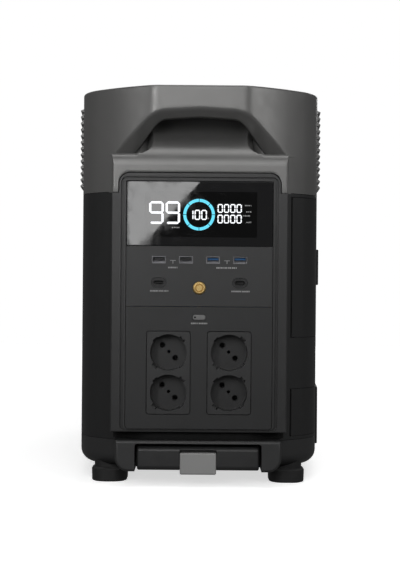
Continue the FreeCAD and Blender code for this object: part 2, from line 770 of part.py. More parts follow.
def socket_module(side):
    cx = side * D.module_offset
    half = D.module_width / 2
    ear = D.module_flange
    body = fuse(soft_box(cx - half, cx + half, front(0.3), front(22), D.module_bottom, D.module_top, 2.6),
                box(cx - half - ear, cx + half + ear, front(D.panel_back + 0.2), front(D.panel_back + 2.6),
                    D.module_bottom - ear, D.module_top + ear))
    cuts = []
    for z in (D.socket_high, D.socket_low):
        cuts.append(rod("y", D.socket_radius, front(0), front(0.3 + D.socket_depth), cx, 0, z))
        cuts.append(rod("y", 1.7, front(10), front(24), cx, 0, z))
        for angle in (PIN_AXIS, PIN_AXIS + 180):
            dx, dz = at_angle(D.pin_pitch / 2, angle)
            cuts.append(rod("y", D.pin_radius, front(10), front(24), cx + dx, 0, z + dz))
        for angle in (CLIP_AXIS, CLIP_AXIS + 180, PIN_AXIS, PIN_AXIS + 180):
            reach = NOTCH_REACH if angle % 180 == CLIP_AXIS else D.socket_radius + 1.2
            cuts.append(radial_box(cx, z, angle, 15, reach, NOTCH_HALF, front(0), front(16)))
    return cut(body, *cuts)


def socket_sites():
    return [(side * D.module_offset, z) for side in (1, -1) for z in (D.socket_high, D.socket_low)]


def earth_clips():
    made = []
    for x, z in socket_sites():
        for angle in (CLIP_AXIS, CLIP_AXIS + 180):
            made.append(radial_box(x, z, angle, NOTCH_REACH - 1.2, NOTCH_REACH - 0.2, 2.2, front(3),
                                   front(15.8)))
    return group(*made)


def socket_contacts():
    made = []
    for x, z in socket_sites():
        for angle in (PIN_AXIS, PIN_AXIS + 180):
            dx, dz = at_angle(D.pin_pitch / 2, angle)
            made.append(cut(rod("y", 4.4, front(22), front(40), x + dx, 0, z + dz),
                            rod("y", 2.4, front(21), front(38), x + dx, 0, z + dz)))
    return group(*made)


node("front_panel", front_panel())
node("ac_panel", ac_panel())
node("screen_glass", soft_box(-D.panel_half + 0.2, D.panel_half - 0.2, front(0.8), front(3),
                              D.glass_bottom, D.glass_top, 1.5))
node("lcd_module", box(-60, 60, front(3.2), front(9), 256, 307))
node("usb_a_shells", usb_shells())
node("usb_a_tongues", usb_tongues((0, 1)))
node("usb_a_fast_tongues", usb_tongues((2, 3)))
node("usb_c_ports", usb_c_ports())
node("power_button", power_button())
node("ac_button", ac_button())
node("socket_module_left", socket_module(-1))
node("socket_module_right", socket_module(1))
node("earth_clips", earth_clips())
node("socket_contacts", socket_contacts())


# ---------------------------------------------------------------- pull-out trolley bar
def trolley_grip():
    bar = soft_box(-D.bar_half, D.bar_half, front(D.bar_front), front(D.bar_back), D.bar_bottom,
                   D.bar_top, 5, "x")
    rounded_bar = rounded(bar, 2, lambda e: e.BoundBox.XLength < 1e-3)
    pocket = box(-D.tab_half - D.gap, D.tab_half + D.gap, front(-1), front(11), 0, D.tab_top + 3)
    bores = [rod("y", D.tube_radius + 0.03, front(12), front(40), sx * D.tube_offset, 0, D.tube_height)
             for sx in (1, -1)]
    return cut(rounded_bar, pocket, *bores)


def trolley_tab():
    tab = rounded(box(-D.tab_half, D.tab_half, front(0.8), front(10.6), D.tab_bottom, D.tab_top),
                  1.6, lambda e: across(front(0.8))(e) or parallel("y")(e))
    return tab


def tubes(outer, inner, start, end):
    made = []
    for sx in (1, -1):
        x = sx * D.tube_offset
        made.append(cut(rod("y", outer, front(start), front(end), x, 0, D.tube_height),
                        rod("y", inner, front(start - 1), front(end + 1), x, 0, D.tube_height)))
    return group(*made)


node("trolley_grip", trolley_grip())
node("trolley_release_tab", trolley_tab())
node("trolley_tubes", tubes(D.tube_radius, D.tube_radius - 1.2, 12.2, D.tube_length + 12.2))
node("trolley_guides", tubes(9, D.tube_radius + 0.5, D.recess_depth + 0.4, 406))


# ---------------------------------------------------------------- corner covers and their bays
def end_arc_point(x, inset):
    """A point on the end arc at a given x; returns y."""
    arc = ARCS[1]
    reach = arc.radius - inset
    return arc.centre[1] - math.sqrt(reach ** 2 - (x - arc.centre[0]) ** 2)


HINGE_INSET = 1.3
HINGE_Y = end_arc_point(float(D.cover_edge), HINGE_INSET)


def corner_cover(low, high):
    skin = cut(prism(0, low, high), prism(D.cover_skin, as_size(low) - 1, as_size(high) + 1))
    area = box(D.cover_edge, 150, front(10), front(D.cover_depth), as_size(low) - 1, as_size(high) + 1)
    knuckle = rod("z", HINGE_INSET, low, high, D.cover_edge, HINGE_Y)
    return fuse(common(skin, area), knuckle)


def bay_tub(low, high):
    """Closed box behind a corner cover, trimmed to stay inside it."""
    walls = cut(box(D.bay_floor, 140, front(43), front(D.cover_depth + 6), low - 4.0, high + 4.0),
                box(D.bay_floor + 2.5, 150, front(45.5), front(D.cover_depth + 3.5), low - 1.5, high + 1.5))
    return common(walls, prism(D.wall + 0.3, low - 10, high + 10))


def from_bay(radius, x0, x1, y, z):
    return rod("x", radius, x0, x1, 0, y, z)


CAR_SOCKET = (-226.0, 268.0)
JACKS = [(-240.0, 226.0), (-214.0, 226.0)]
DC_BUTTON = (-226.0, 196.0)
BATTERY_PORT = (-228.0, 74.0)

node("side_cover_upper", corner_cover(D.cover_low, D.cover_high))
node("side_cover_lower", corner_cover(D.lower_cover_low, D.lower_cover_high))
upper_bay = cut(bay_tub(D.cover_low, D.cover_high), from_bay(14.2, 80, 100, *CAR_SOCKET),
                *[from_bay(6.2, 80, 100, *spot) for spot in JACKS], from_bay(6.8, 80, 100, *DC_BUTTON))
lower_bay = cut(bay_tub(D.lower_cover_low + 4, D.lower_cover_high),
                box(80, 100, BATTERY_PORT[0] - 17.2, BATTERY_PORT[0] + 17.2,
                    BATTERY_PORT[1] - 10.2, BATTERY_PORT[1] + 10.2))
node("corner_bays", group(upper_bay, lower_bay))
node("car_socket", fuse(cut(from_bay(14, 66, 97, *CAR_SOCKET), from_bay(10.6, 70, 100, *CAR_SOCKET)),
                        cut(from_bay(16.5, 94.5, 97, *CAR_SOCKET), from_bay(10.6, 70, 100, *CAR_SOCKET)),
                        from_bay(2, 68, 76, *CAR_SOCKET)))
node("dc_jacks", group(*[fuse(cut(from_bay(6, 76, 96, *spot), from_bay(3.2, 82, 100, *spot)),
                              from_bay(1.1, 80, 94, *spot)) for spot in JACKS]))


def dc_button():
    r = 6.5
    body = turned("dc_button", [(0, 0), (0, r + 1.5), (1.2, r + 1.5), (1.2, r), (5.2, r), (5.8, r - 0.6),
                                (5.8, r - 2), (5.4, 0)], "x")
    place(body, 90.6, DC_BUTTON[0], DC_BUTTON[1])
    return body


def battery_port():
    y, z = BATTERY_PORT
    shell = cut(box(76, 98, y - 17, y + 17, z - 10, z + 10),
                box(80, 100, y - 14.5, y + 14.5, z - 7.5, z + 7.5))
    blades = [box(79, 95, y + dy - 0.8, y + dy + 0.8, z - 4, z + 4) for dy in (-10, -5, 5, 10)]
    return fuse(shell, *blades)


node("dc_button", dc_button())
node("battery_port", battery_port())


# ---------------------------------------------------------------- rear panel, its bay and controls
def rear(depth):
    """Y of a plane that lies `depth` ahead of the rear-most plane."""
    return D.case_length / 2 - depth


INLET = (-28.0, 262.0)
SOLAR = (30.0, 262.0)
BREAKERS = [(-22.0, 198.0), (22.0, 198.0)]
SLIDER_Z = 170.0
REAR_HINGE_DEPTH, REAR_HINGE_DROP = 2.4, 1.8


def rear_panel():
    raw = box(-D.panel_half, D.panel_half, rear(D.panel_back), rear(D.panel_front),
              D.opening_bottom + 0.3, D.opening_top - 0.3)
    panel = rounded(raw, 3.6, parallel("y"))
    window = box(-D.bay_half, D.bay_half, rear(8), rear(0), D.bay_low, D.bay_high)
    cuts = [window]
    cuts += [rod("y", 6.3, rear(8), rear(0), x, 0, z) for x, z in BREAKERS]
    cuts.append(box(-10, 10, rear(8), rear(0), SLIDER_Z - 3.6, SLIDER_Z + 3.6))
    for i in range(8):
        z = 78 + i * 8
        cuts.append(pill(112, 3.2, rear(8), rear(0), 0, z))
    return cut(panel, *cuts)


def rear_bay():
    walls = cut(box(-D.bay_half - 4, D.bay_half + 4, rear(D.bay_depth), rear(D.panel_back + 0.1),
                    D.bay_low - 3, D.bay_high + 3),
                box(-D.bay_half - 1, D.bay_half + 1, rear(D.bay_depth - 2.5), rear(0), D.bay_low - 0.5,
                    D.bay_high + 0.5))
    x, z = INLET
    sx, sz = SOLAR
    return cut(walls, box(x - 16.2, x + 16.2, rear(50), rear(20), z - 12.7, z + 12.7),
               box(sx - 12.2, sx + 12.2, rear(50), rear(20), sz - 9.2, sz + 9.2))


def rear_cover():
    hinge_z = D.bay_high - REAR_HINGE_DROP
    panel = soft_box(-D.bay_half + 0.4, D.bay_half - 0.4, rear(REAR_HINGE_DEPTH + 1.4),
                     rear(REAR_HINGE_DEPTH - 1.4), D.bay_low + 0.4, hinge_z, 0.8, "x")
    knuckle = rod("x", 1.4, -D.bay_half + 0.4, D.bay_half - 0.4, 0, rear(REAR_HINGE_DEPTH), hinge_z)
    pull = soft_box(-12, 12, rear(REAR_HINGE_DEPTH - 1.2), rear(0.1), D.bay_low + 2, D.bay_low + 5, 0.4,
                    "x")
    return fuse(panel, knuckle, pull)


def ac_inlet():
    x, z = INLET
    shell = cut(soft_box(x - 16, x + 16, rear(48), rear(26), z - 12.5, z + 12.5, 2),
                soft_box(x - 12.5, x + 12.5, rear(44), rear(20), z - 9, z + 9, 3))
    pins = [box(x + dx - 2.6, x + dx + 2.6, rear(45), rear(30), z + dz - 1, z + dz + 1)
            for dx, dz in ((-7, -2.5), (7, -2.5), (0, 3))]
    return fuse(shell, *pins)


def solar_port():
    x, z = SOLAR
    shell = cut(soft_box(x - 12, x + 12, rear(46), rear(26), z - 9, z + 9, 2),
                soft_box(x - 9, x + 9, rear(42), rear(20), z - 5.5, z + 5.5, 1.5))
    return fuse(shell, *[rod("y", 2.2, rear(43), rear(30), x + dx, 0, z) for dx in (-4, 4)])


def breaker(x, z, name):
    r = 6
    body = turned(name, [(0, 0), (0, r + 1.6), (1.4, r + 1.6), (1.4, r), (5.2, r), (6.0, r - 0.8),
                         (6.0, 0)], "y")
    place(body, x, rear(6.0), z)
    return body


def charge_switch():
    """A slide switch at the left end of its travel, with a shutter plate behind the slot."""
    knob = soft_box(-9, -2, rear(6), rear(0.6), SLIDER_Z - 3.2, SLIDER_Z + 3.2, 0.6)
    return fuse(box(-22, 12, rear(6.2), rear(4.7), SLIDER_Z - 5, SLIDER_Z + 5), knob)


node("rear_panel", rear_panel())
node("rear_bay", rear_bay())
node("rear_cover", rear_cover())
node("ac_inlet", ac_inlet())
node("solar_port", solar_port())
for label, (x, z) in zip(("breaker_button_left", "breaker_button_right"), BREAKERS):
    node(label, breaker(x, z, label))
node("charge_speed_switch", charge_switch())


# ---------------------------------------------------------------- wheels
def wheel_hub(name):
    r = D.hub_radius
    inner, outer = D.hub_inner, D.hub_outer
    points = [(inner, D.axle_radius + 0.05), (inner, 10), (inner + 4, 10), (inner + 6, r - 4),
              (inner + 1, r - 2), (inner + 1, r), (outer - 1, r), (outer - 1, r - 2.5),
              (outer - 3.5, r - 4), (outer - 5, 14), (outer - 1.5, 11), (outer - 1.5, D.axle_radius + 0.05)]
    body = turned(name, points, "x")
    place(body, 0, D.wheel_place, D.wheel_radius)
    return body


def tyre(name):
    r0, r1 = D.hub_radius + 0.05, D.wheel_radius
    inner, outer = D.hub_inner + 0.5, D.hub_outer - 0.5
    points = [(inner, r0), (inner, r1 - 5), (inner + 1.5, r1 - 1.8), (inner + 4.5, r1), (inner + 8, r1),
              (inner + 8.8, r1 - 1.4), (outer - 8.8, r1 - 1.4), (outer - 8, r1), (outer - 4.5, r1),
              (outer - 1.5, r1 - 1.8), (outer, r1 - 5), (outer, r0)]
    body = turned(name, points, "x")
    place(body, 0, D.wheel_place, D.wheel_radius)
    return body


for label, build in (("wheel_hub_right", wheel_hub), ("tyre_right", tyre)):
    right = node(label, build(label))
    node(label.replace("right", "left"), mirrored(right, LEFT_RIGHT))
node("axle", rod("x", D.axle_radius, -124, 124, 0, D.wheel_place, D.wheel_radius))
cap = cut(rod("x", 8.5, 123.9, 127, 0, D.wheel_place, D.wheel_radius),
          rod("x", D.axle_radius, 120, 124, 0, D.wheel_place, D.wheel_radius))
collar = cut(rod("x", 8.5, 95.9 - 2.6, 95.9, 0, D.wheel_place, D.wheel_radius),
             rod("x", D.axle_radius + 0.05, 80, 100, 0, D.wheel_place, D.wheel_radius))
node("axle_caps", group(cap, mirrored(cap, LEFT_RIGHT), collar, mirrored(collar, LEFT_RIGHT)))


# ---------------------------------------------------------------- energy store
def cells():
    made = []
    rows = int(float(D.cell_rows))
    for i in range(rows):
        y = D.cell_start + i * D.cell_pitch
        for x0 in (2, -2 - D.cell_width):
            body = soft_box(x0, as_size(x0) + D.cell_width, y, y + D.cell_thick, D.cell_bottom,
                            D.cell_top, 2, "z")
            posts = [rod("z", 5, D.cell_top, D.cell_top + 3, as_size(x0) + D.cell_width / 2 + dx,
                         y + D.cell_thick / 2) for dx in (-30, 30)]
            made.append(fuse(body, *posts))
    return group(*made)


def busbars():
    made = []
    for x0 in (2, -2 - D.cell_width):
        for i in range(0, int(float(D.cell_rows)) - 1):
            y = D.cell_start + i * D.cell_pitch
            dx = 30 if i % 2 else -30
            x = as_size(x0) + D.cell_width / 2 + dx
            made.append(box(x - 8, x + 8, y + 8, y + D.cell_pitch + D.cell_thick - 8, D.cell_top + 3,
                            D.cell_top + 5))
    return group(*made)


def battery_frame():
    last = D.cell_start + D.cell_rows * D.cell_pitch - (D.cell_pitch - D.cell_thick)
    outer = box(-101, 101, D.cell_start - 4, last + 4, D.cell_bottom - 3.5, D.cell_bottom + 60)
    pocket = box(-97.5, 97.5, D.cell_start - 0.5, last + 0.5, D.cell_bottom - 0.5, D.cell_bottom + 80)
    windows = [box(-110, 110, y, y + 60, D.cell_bottom + 8, D.cell_bottom + 48) for y in
               (-180, -100, -20, 60)]
    return cut(outer, pocket, *windows)


def board(x0, x1, y0, y1, z0):
    """A circuit board with a mounting hole near each corner."""
    plate_box = box(x0, x1, y0, y1, z0, as_size(z0) + 1.6)
    holes = [rod("z", 1.7, as_size(z0) - 1, as_size(z0) + 3, x, y) for x in (x0 + 6, x1 - 6)
             for y in (y0 + 6, y1 - 6)]
    return cut(plate_box, *holes)


def heatsink():
    base = box(-88, -20, -120, 150, 222, 228)
    fins = [box(-88 + i * 7.5, -86 + i * 7.5, -120, 150, 227, 262) for i in range(9)]
    return fuse(base, *fins)


def transformer():
    core = cut(rod("z", 34, 222, 262, 40, 110), rod("z", 12, 220, 264, 40, 110))
    return core


def capacitors():
    return group(*[rod("z", 9, 222, 262, 15 + (i % 3) * 24, -100 + (i // 3) * 24) for i in range(9)])


def fan_frame():
    half = D.fan_size / 2
    inner = D.fan_face - D.fan_thick
    body = soft_box(inner, D.fan_face, -half, half, D.fan_height - half, D.fan_height + half, 5, "x")
    ring = cut(body, rod("x", half - 2.5, inner + 3, 140, 0, 0, D.fan_height),
               rod("x", half - 2.5, 90, inner + 1, 0, 0, D.fan_height),
               *[box(inner - 1, inner + 4, y, y + 30, D.fan_height + z, D.fan_height + z + 30)
                 for y in (-36, 6) for z in (-36, 6)])
    pin = rod("x", 2, inner + 1, inner + 20, 0, 0, D.fan_height)
    return fuse(ring, pin)


def fan_rotor():
    inner = D.fan_face - D.fan_thick
    hub = cut(rod("x", 18, inner + 5, inner + 22, 0, 0, D.fan_height),
              rod("x", 2.05, inner + 3, inner + 20.6, 0, 0, D.fan_height))
    blades = []
    for i in range(7):
        blade = fresh("Part::Box", "blade")
        bind(blade, "Length", 1.6)
        bind(blade, "Width", 15)
        bind(blade, "Height", D.fan_size / 2 - 4 - 15)
        pitch_turn = Rotation(Vector(0, 0, 1), 35)
        around = Rotation(Vector(1, 0, 0), 360.0 / 7 * i)
        start = Placement(Vector(2, -6, 15), pitch_turn)
        centre = Placement(Vector(float(inner) + 13.5, 0, float(D.fan_height)), around)
        blade.Placement = centre.multiply(start)
        blades.append(blade)
    return fuse(hub, *blades)


node("battery_frame", battery_frame())
node("battery_cells", cells())
node("busbars", busbars())
node("circuit_boards", group(board(-90, 90, -200, -140, 206), board(-98, 98, -126, 165, 220.4),
                             box(-66, 66, front(16.2), front(17.8), 192, 308)))
node("heatsink", heatsink())
node("transformer", transformer())
node("capacitors", capacitors())
fan = fan_frame()
node("fan_frames", group(fan, mirrored(fan, LEFT_RIGHT)))
rotor = fan_rotor()
node("fan_rotor_right", rotor)
node("fan_rotor_left", mirrored(rotor, LEFT_RIGHT))

# ---------------------------------------------------------------- check and write
def finish():
    doc.recompute()
    for thing in doc.Objects:
        if "Invalid" in thing.State or "Error" in thing.State:
            raise SystemExit("%s (%s) failed: %s" % (thing.Name, thing.Label, thing.State))
    os.makedirs("parts", exist_ok=True)
    for name, thing in NODES.items():
        shape = thing.Shape
        if shape.isNull() or not shape.isValid() or not shape.Solids:
            raise SystemExit("%s has no valid shape" % name)
        shape.exportStep("parts/%s.step" % name)
        print("%-26s %2d solid(s) %10.1f mm3" % (name, len(shape.Solids), shape.Volume))


finish()
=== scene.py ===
import json
import math

import bmesh
import bpy
import numpy as np
from mathutils import Euler, Matrix, Vector

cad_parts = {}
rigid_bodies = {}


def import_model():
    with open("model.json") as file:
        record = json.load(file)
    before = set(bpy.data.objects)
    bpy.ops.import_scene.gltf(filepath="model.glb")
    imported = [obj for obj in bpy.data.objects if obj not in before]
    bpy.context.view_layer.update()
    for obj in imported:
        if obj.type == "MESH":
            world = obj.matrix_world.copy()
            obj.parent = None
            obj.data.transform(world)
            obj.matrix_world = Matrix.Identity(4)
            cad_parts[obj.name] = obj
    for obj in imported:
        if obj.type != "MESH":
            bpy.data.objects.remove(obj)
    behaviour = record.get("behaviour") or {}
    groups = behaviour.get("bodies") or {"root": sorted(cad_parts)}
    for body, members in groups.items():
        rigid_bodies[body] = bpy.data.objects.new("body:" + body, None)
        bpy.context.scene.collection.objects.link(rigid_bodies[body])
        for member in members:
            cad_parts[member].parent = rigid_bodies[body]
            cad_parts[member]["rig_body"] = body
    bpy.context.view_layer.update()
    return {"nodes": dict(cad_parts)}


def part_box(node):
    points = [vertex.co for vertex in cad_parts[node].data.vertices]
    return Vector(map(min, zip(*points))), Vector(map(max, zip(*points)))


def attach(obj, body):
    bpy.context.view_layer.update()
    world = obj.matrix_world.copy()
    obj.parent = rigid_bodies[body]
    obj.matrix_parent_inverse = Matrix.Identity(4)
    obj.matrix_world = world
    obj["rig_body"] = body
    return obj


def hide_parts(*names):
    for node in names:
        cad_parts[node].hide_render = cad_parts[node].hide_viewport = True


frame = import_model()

MM = 0.001
NODES = frame["nodes"]

# ---------------------------------------------------------------- places read from the frame
HOOD_LOW, HOOD_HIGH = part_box("hood_shell")
FRAME_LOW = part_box("console_frame")[0]
GLASS_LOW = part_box("screen_glass")[0]
FRONT_Y = HOOD_LOW[1]
TOP_Z = HOOD_HIGH[2]
SEAM_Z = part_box("lower_shell")[1][2]


# ---------------------------------------------------------------- camera and studio
def camera():
    distance = 1.2                  # from the console's front plane
    eye_height = 0.209
    seen_height = 0.5871            # what the frame's long side covers at the console
    data = bpy.data.cameras.new("camera")
    data.sensor_width = 36
    data.lens = data.sensor_width * distance / seen_height
    data.clip_start = 0.01
    cam = bpy.data.objects.new("camera", data)
    bpy.context.scene.collection.objects.link(cam)
    roll = Matrix.Rotation(math.radians(0.45), 4, "Z")
    place = Matrix.Translation((0.0007, FRONT_Y - distance, eye_height))
    cam.matrix_world = place @ Euler((math.radians(90), 0, 0)).to_matrix().to_4x4() @ roll
    bpy.context.scene.camera = cam


def area_light(name, spot, aim, size, power):
    data = bpy.data.lights.new(name, "AREA")
    data.shape = "RECTANGLE"
    data.size, data.size_y = size
    data.energy = power
    lamp = bpy.data.objects.new(name, data)
    bpy.context.scene.collection.objects.link(lamp)
    lamp.location = spot
    lamp.rotation_euler = (Vector(aim) - Vector(spot)).to_track_quat("-Z", "Y").to_euler()


def link(name, mesh, body=None, material=None):
    """An object for a mesh; `body` is the CAD body that carries it."""
    piece = bpy.data.objects.new(name, mesh)
    bpy.context.scene.collection.objects.link(piece)
    if material is not None:
        mesh.materials.append(material)
    if body is not None:
        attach(piece, body)
    return piece


def studio():
    """White surroundings, a floor and the lamps; all of it is stage, not object."""
    world = bpy.data.worlds.new("studio")
    world.use_nodes = True
    back = world.node_tree.nodes["Background"]
    back.inputs["Color"].default_value = (1, 1, 1, 1)
    back.inputs["Strength"].default_value = 0.13
    bpy.context.scene.world = world
    bpy.context.scene.view_settings.view_transform = "Standard"

    work = bmesh.new()
    bmesh.ops.create_circle(work, cap_ends=True, radius=2.6, segments=96)
    mesh = bpy.data.meshes.new("floor")
    work.to_mesh(mesh)
    work.free()
    floor_white = plain("floor_white", (0.80, 0.80, 0.80), 0.7)
    glow(floor_white, (1, 1, 1), 0.62)
    floor = link("floor", mesh, material=floor_white)
    floor.visible_diffuse = floor.visible_glossy = False

    work = bmesh.new()
    bmesh.ops.create_uvsphere(work, u_segments=64, v_segments=32, radius=9.2)
    mesh = bpy.data.meshes.new("backdrop")
    work.to_mesh(mesh)
    work.free()
    backdrop_white = plain("backdrop_white", (0, 0, 0), 1.0)
    glow(backdrop_white, (1, 1, 1), 1.0)
    backdrop = link("backdrop", mesh, material=backdrop_white)
    seen_only_by_camera(backdrop)

    # place, aim and size in metres, then watts; the narrow strip draws the highlight on the left bend
    area_light("behind_camera", (0.0, -2.7, 1.15), (0, -0.3, 0.33), (1.9, 1.1), 17.6)
    area_light("left_strip", (-0.60, -1.60, 0.62), (-0.05, -0.3, 0.36), (0.10, 0.7), 4.4)
    area_light("left_fill", (-1.15, -1.05, 0.75), (-0.1, -0.25, 0.33), (0.30, 0.6), 1.6)
    area_light("right_fill", (1.45, -1.25, 0.80), (0.1, -0.25, 0.30), (0.7, 0.8), 5.4)
    area_light("overhead", (0, -0.7, 1.9), (0, -0.2, 0.3), (1.6, 0.9), 10)
    area_light("rear", (0.5, 2.6, 1.5), (0, 0.2, 0.25), (1.8, 1.4), 26)
    glare_card()


def glare_card():
    """A white card behind the camera that the glass mirrors as a slanted glare."""
    card_y = -1.6
    left, slant_top, slant_low = -0.155, -0.001, -0.1226
    top, low = 0.430, 0.293
    corners = [(left, top), (slant_top, top), (slant_low, low), (left, low)]
    mesh = bpy.data.meshes.new("glare_card")
    mesh.from_pydata([(x, card_y, z) for x, z in corners], [], [(0, 1, 2, 3)])
    card_white = plain("card_white", (0, 0, 0), 1.0)
    glow(card_white, (1, 1, 1), 8.0)
    card = link("glare_card", mesh, material=card_white)
    for kind in ("camera", "diffuse", "transmission", "shadow", "volume_scatter"):
        setattr(card, "visible_" + kind, False)


def seen_only_by_camera(piece):
    """A background that neither lights the object nor shows in it."""
    for kind in ("diffuse", "glossy", "transmission", "shadow", "volume_scatter"):
        setattr(piece, "visible_" + kind, False)


def glow(material, colour, strength):
    _, shader = nodes_of(material)
    shader.inputs["Emission Color"].default_value = (*colour, 1)
    shader.inputs["Emission Strength"].default_value = strength


# ---------------------------------------------------------------- materials
def nodes_of(material):
    material.use_nodes = True
    tree = material.node_tree
    return tree, tree.nodes["Principled BSDF"]


def plain(name, colour, rough):
    """One even colour."""
    material = bpy.data.materials.new(name)
    tree, shader = nodes_of(material)
    shader.inputs["Base Color"].default_value = (*colour, 1)
    shader.inputs["Roughness"].default_value = rough
    return material


def noise(tree, scale, detail=2.0, stretch=(1, 1, 1)):
    """A noise texture in the piece's own space, in noise cells per metre."""
    place = tree.nodes.new("ShaderNodeTexCoord")
    mapping = tree.nodes.new("ShaderNodeMapping")
    mapping.inputs["Scale"].default_value = stretch
    texture = tree.nodes.new("ShaderNodeTexNoise")
    texture.inputs["Scale"].default_value = scale
    texture.inputs["Detail"].default_value = detail
    tree.links.new(place.outputs["Object"], mapping.inputs["Vector"])
    tree.links.new(mapping.outputs["Vector"], texture.inputs["Vector"])
    return texture.outputs["Fac"]


NOISE_LOW, NOISE_HIGH = 0.3, 0.7      # the range most of a noise texture falls in


def spread(tree, source, low, high):
    """Maps a noise signal onto low to high."""
    ranged = tree.nodes.new("ShaderNodeMapRange")
    ranged.inputs["From Min"].default_value = NOISE_LOW
    ranged.inputs["From Max"].default_value = NOISE_HIGH
    ranged.inputs["To Min"].default_value = low
    ranged.inputs["To Max"].default_value = high
    tree.links.new(source, ranged.inputs["Value"])
    return ranged.outputs["Result"]


def tinted(tree, source, dark, light):
    """A colour that wanders between two tones."""
    ramp = tree.nodes.new("ShaderNodeValToRGB")
    ramp.color_ramp.elements[0].position = NOISE_LOW
    ramp.color_ramp.elements[0].color = (*dark, 1)
    ramp.color_ramp.elements[1].position = NOISE_HIGH
    ramp.color_ramp.elements[1].color = (*light, 1)
    tree.links.new(source, ramp.inputs["Fac"])
    return ramp.outputs["Color"]


def moulded(name, colour, rough, grain=2600, depth=0.25, wander=0.06, sheen=0.0, flake=0.0):
    """Moulded plastic or rubber: fine erosion grain, slight tone and gloss changes over the panel.

    `depth` is the grain's strength, `wander` the tone change and `flake` the share of metal flake.
    """
    material = bpy.data.materials.new(name)
    tree, shader = nodes_of(material)
    slow = noise(tree, 14, 3)
    dark = [c * (1 - wander) for c in colour]
    light = [c * (1 + wander) for c in colour]
    tree.links.new(tinted(tree, slow, dark, light), shader.inputs["Base Color"])
    fine = noise(tree, grain, 1.5)
    tree.links.new(spread(tree, noise(tree, 90, 3), rough - 0.03, rough + 0.04), shader.inputs["Roughness"])
    bump = tree.nodes.new("ShaderNodeBump")
    bump.inputs["Strength"].default_value = depth
    bump.inputs["Distance"].default_value = 0.00012
    tree.links.new(fine, bump.inputs["Height"])
    tree.links.new(bump.outputs["Normal"], shader.inputs["Normal"])
    shader.inputs["Specular IOR Level"].default_value = 0.45
    if sheen:
        shader.inputs["Sheen Weight"].default_value = sheen
    shader.inputs["Metallic"].default_value = flake
    return material


def metal(name, colour, rough, stretch=(1, 1, 1), grain=900, depth=0.08):
    """Metal with a drawn or turned grain along the squeezed axis."""
    material = bpy.data.materials.new(name)
    tree, shader = nodes_of(material)
    shader.inputs["Metallic"].default_value = 1.0
    lines = noise(tree, grain, 2, stretch)
    dark = [c * 0.85 for c in colour]
    tree.links.new(tinted(tree, lines, dark, colour), shader.inputs["Base Color"])
    tree.links.new(spread(tree, lines, rough - 0.05, rough + 0.08), shader.inputs["Roughness"])
    bump = tree.nodes.new("ShaderNodeBump")
    bump.inputs["Strength"].default_value = depth
    bump.inputs["Distance"].default_value = 0.0001
    tree.links.new(lines, bump.inputs["Height"])
    tree.links.new(bump.outputs["Normal"], shader.inputs["Normal"])
    return material


def glowing(name, colour, strength):
    """Lit display ink."""
    material = plain(name, [c * 0.5 for c in colour], 0.4)
    glow(material, colour, strength)
    return material


# ---------------------------------------------------------------- hood: plan and profile, metres
def smoothstep(value):
    value = np.clip(value, 0, 1)
    return value * value * (3 - 2 * value)


class Arc:
    """One arc of the plan, from heading a0 to a1 in degrees, 0 along +X."""

    def __init__(self, start, radius, a0, a1):
        self.radius, self.a0, self.a1 = radius, a0, a1
        turn = math.radians(a0)
        self.centre = (start[0] - radius * math.sin(turn), start[1] + radius * math.cos(turn))

    def at(self, heading):
        turn = math.radians(heading)
        return (self.centre[0] + self.radius * math.sin(turn),
                self.centre[1] - self.radius * math.cos(turn))

    def heading_at(self, x):
        return math.degrees(math.asin((x - self.centre[0]) / self.radius))


# plan: a flat middle, an easing bend, the bowed end, the corner, then a side that bows slightly
SETBACK, FLAT_HALF = 0.010, 0.043
BEND_TURN, END_TURN, CORNER_TURN = 25, 40, 85.2     # headings in degrees where each arc stops
EASE = Arc((FLAT_HALF, FRONT_Y + SETBACK), 0.028, 0, BEND_TURN)
END = Arc(EASE.at(BEND_TURN), 0.250, BEND_TURN, END_TURN)
CORNER = Arc(END.at(END_TURN), 0.053, END_TURN, CORNER_TURN)
SIDE_START = CORNER.at(CORNER_TURN)
SIDE = Arc(SIDE_START, -SIDE_START[1] / math.cos(math.radians(CORNER_TURN)), CORNER_TURN, 90)
# heights and half widths of the block that stands out of the end, its ledge and its scoop
BLOCK_HALF, BLOCK_LOW, BLOCK_CORNER = 0.091, 0.304, 0.0028
LEDGE, ROOF = 0.345, 0.402
ARCH_HALF, ARCH_TOP, ARCH_ROUND = 0.0843, 0.3249, 0.012
TOP_ROUND = 0.0022


def wall_at(x):
    """Plan point and heading of the case's wall at |x| on the end."""
    if x <= FLAT_HALF:
        return (x, FRONT_Y + SETBACK), 0.0
    for arc in (EASE, END):
        if x <= arc.at(arc.a1)[0] + 1e-9:
            heading = arc.heading_at(x)
            return arc.at(heading), heading
    raise ValueError("the end of the case stops at the corner arc")


def softened(x, table, reach=0.004):
    """A polyline read with its corners eased over +-reach."""
    xs, zs = zip(*table)
    spots = np.abs(x + np.linspace(-reach, reach, 17))
    return float(np.mean(np.interp(spots, xs, zs)))


# the grip's front edge, its rear lip and how deep that lip lies, each against |x|
RIDGE_LINE = [(0, 0.3926), (0.0396, 0.3900), (0.0525, 0.3855), (0.0885, 0.3500), (0.0915, 0.3470)]
LIP_LINE = [(0, 0.3848), (0.0385, 0.3822), (0.0466, 0.3771), (0.0646, 0.3530), (0.0700, 0.3450),
            (0.0915, 0.3450)]
LIP_DEPTH = [(0, 0.018), (0.0385, 0.0190), (0.0466, 0.0215), (0.0646, 0.0335), (0.0700, 0.0350),
             (0.0905, 0.0335)]


def along(points, count):
    """`count` points evenly spaced by length along a polyline."""
    points = np.array(points, float)
    steps = np.linalg.norm(np.diff(points, axis=0), axis=1)
    total = np.concatenate([[0], np.cumsum(steps)])
    want = np.linspace(0, total[-1], count)
    return np.stack([np.interp(want, total, points[:, i]) for i in range(points.shape[1])], 1)


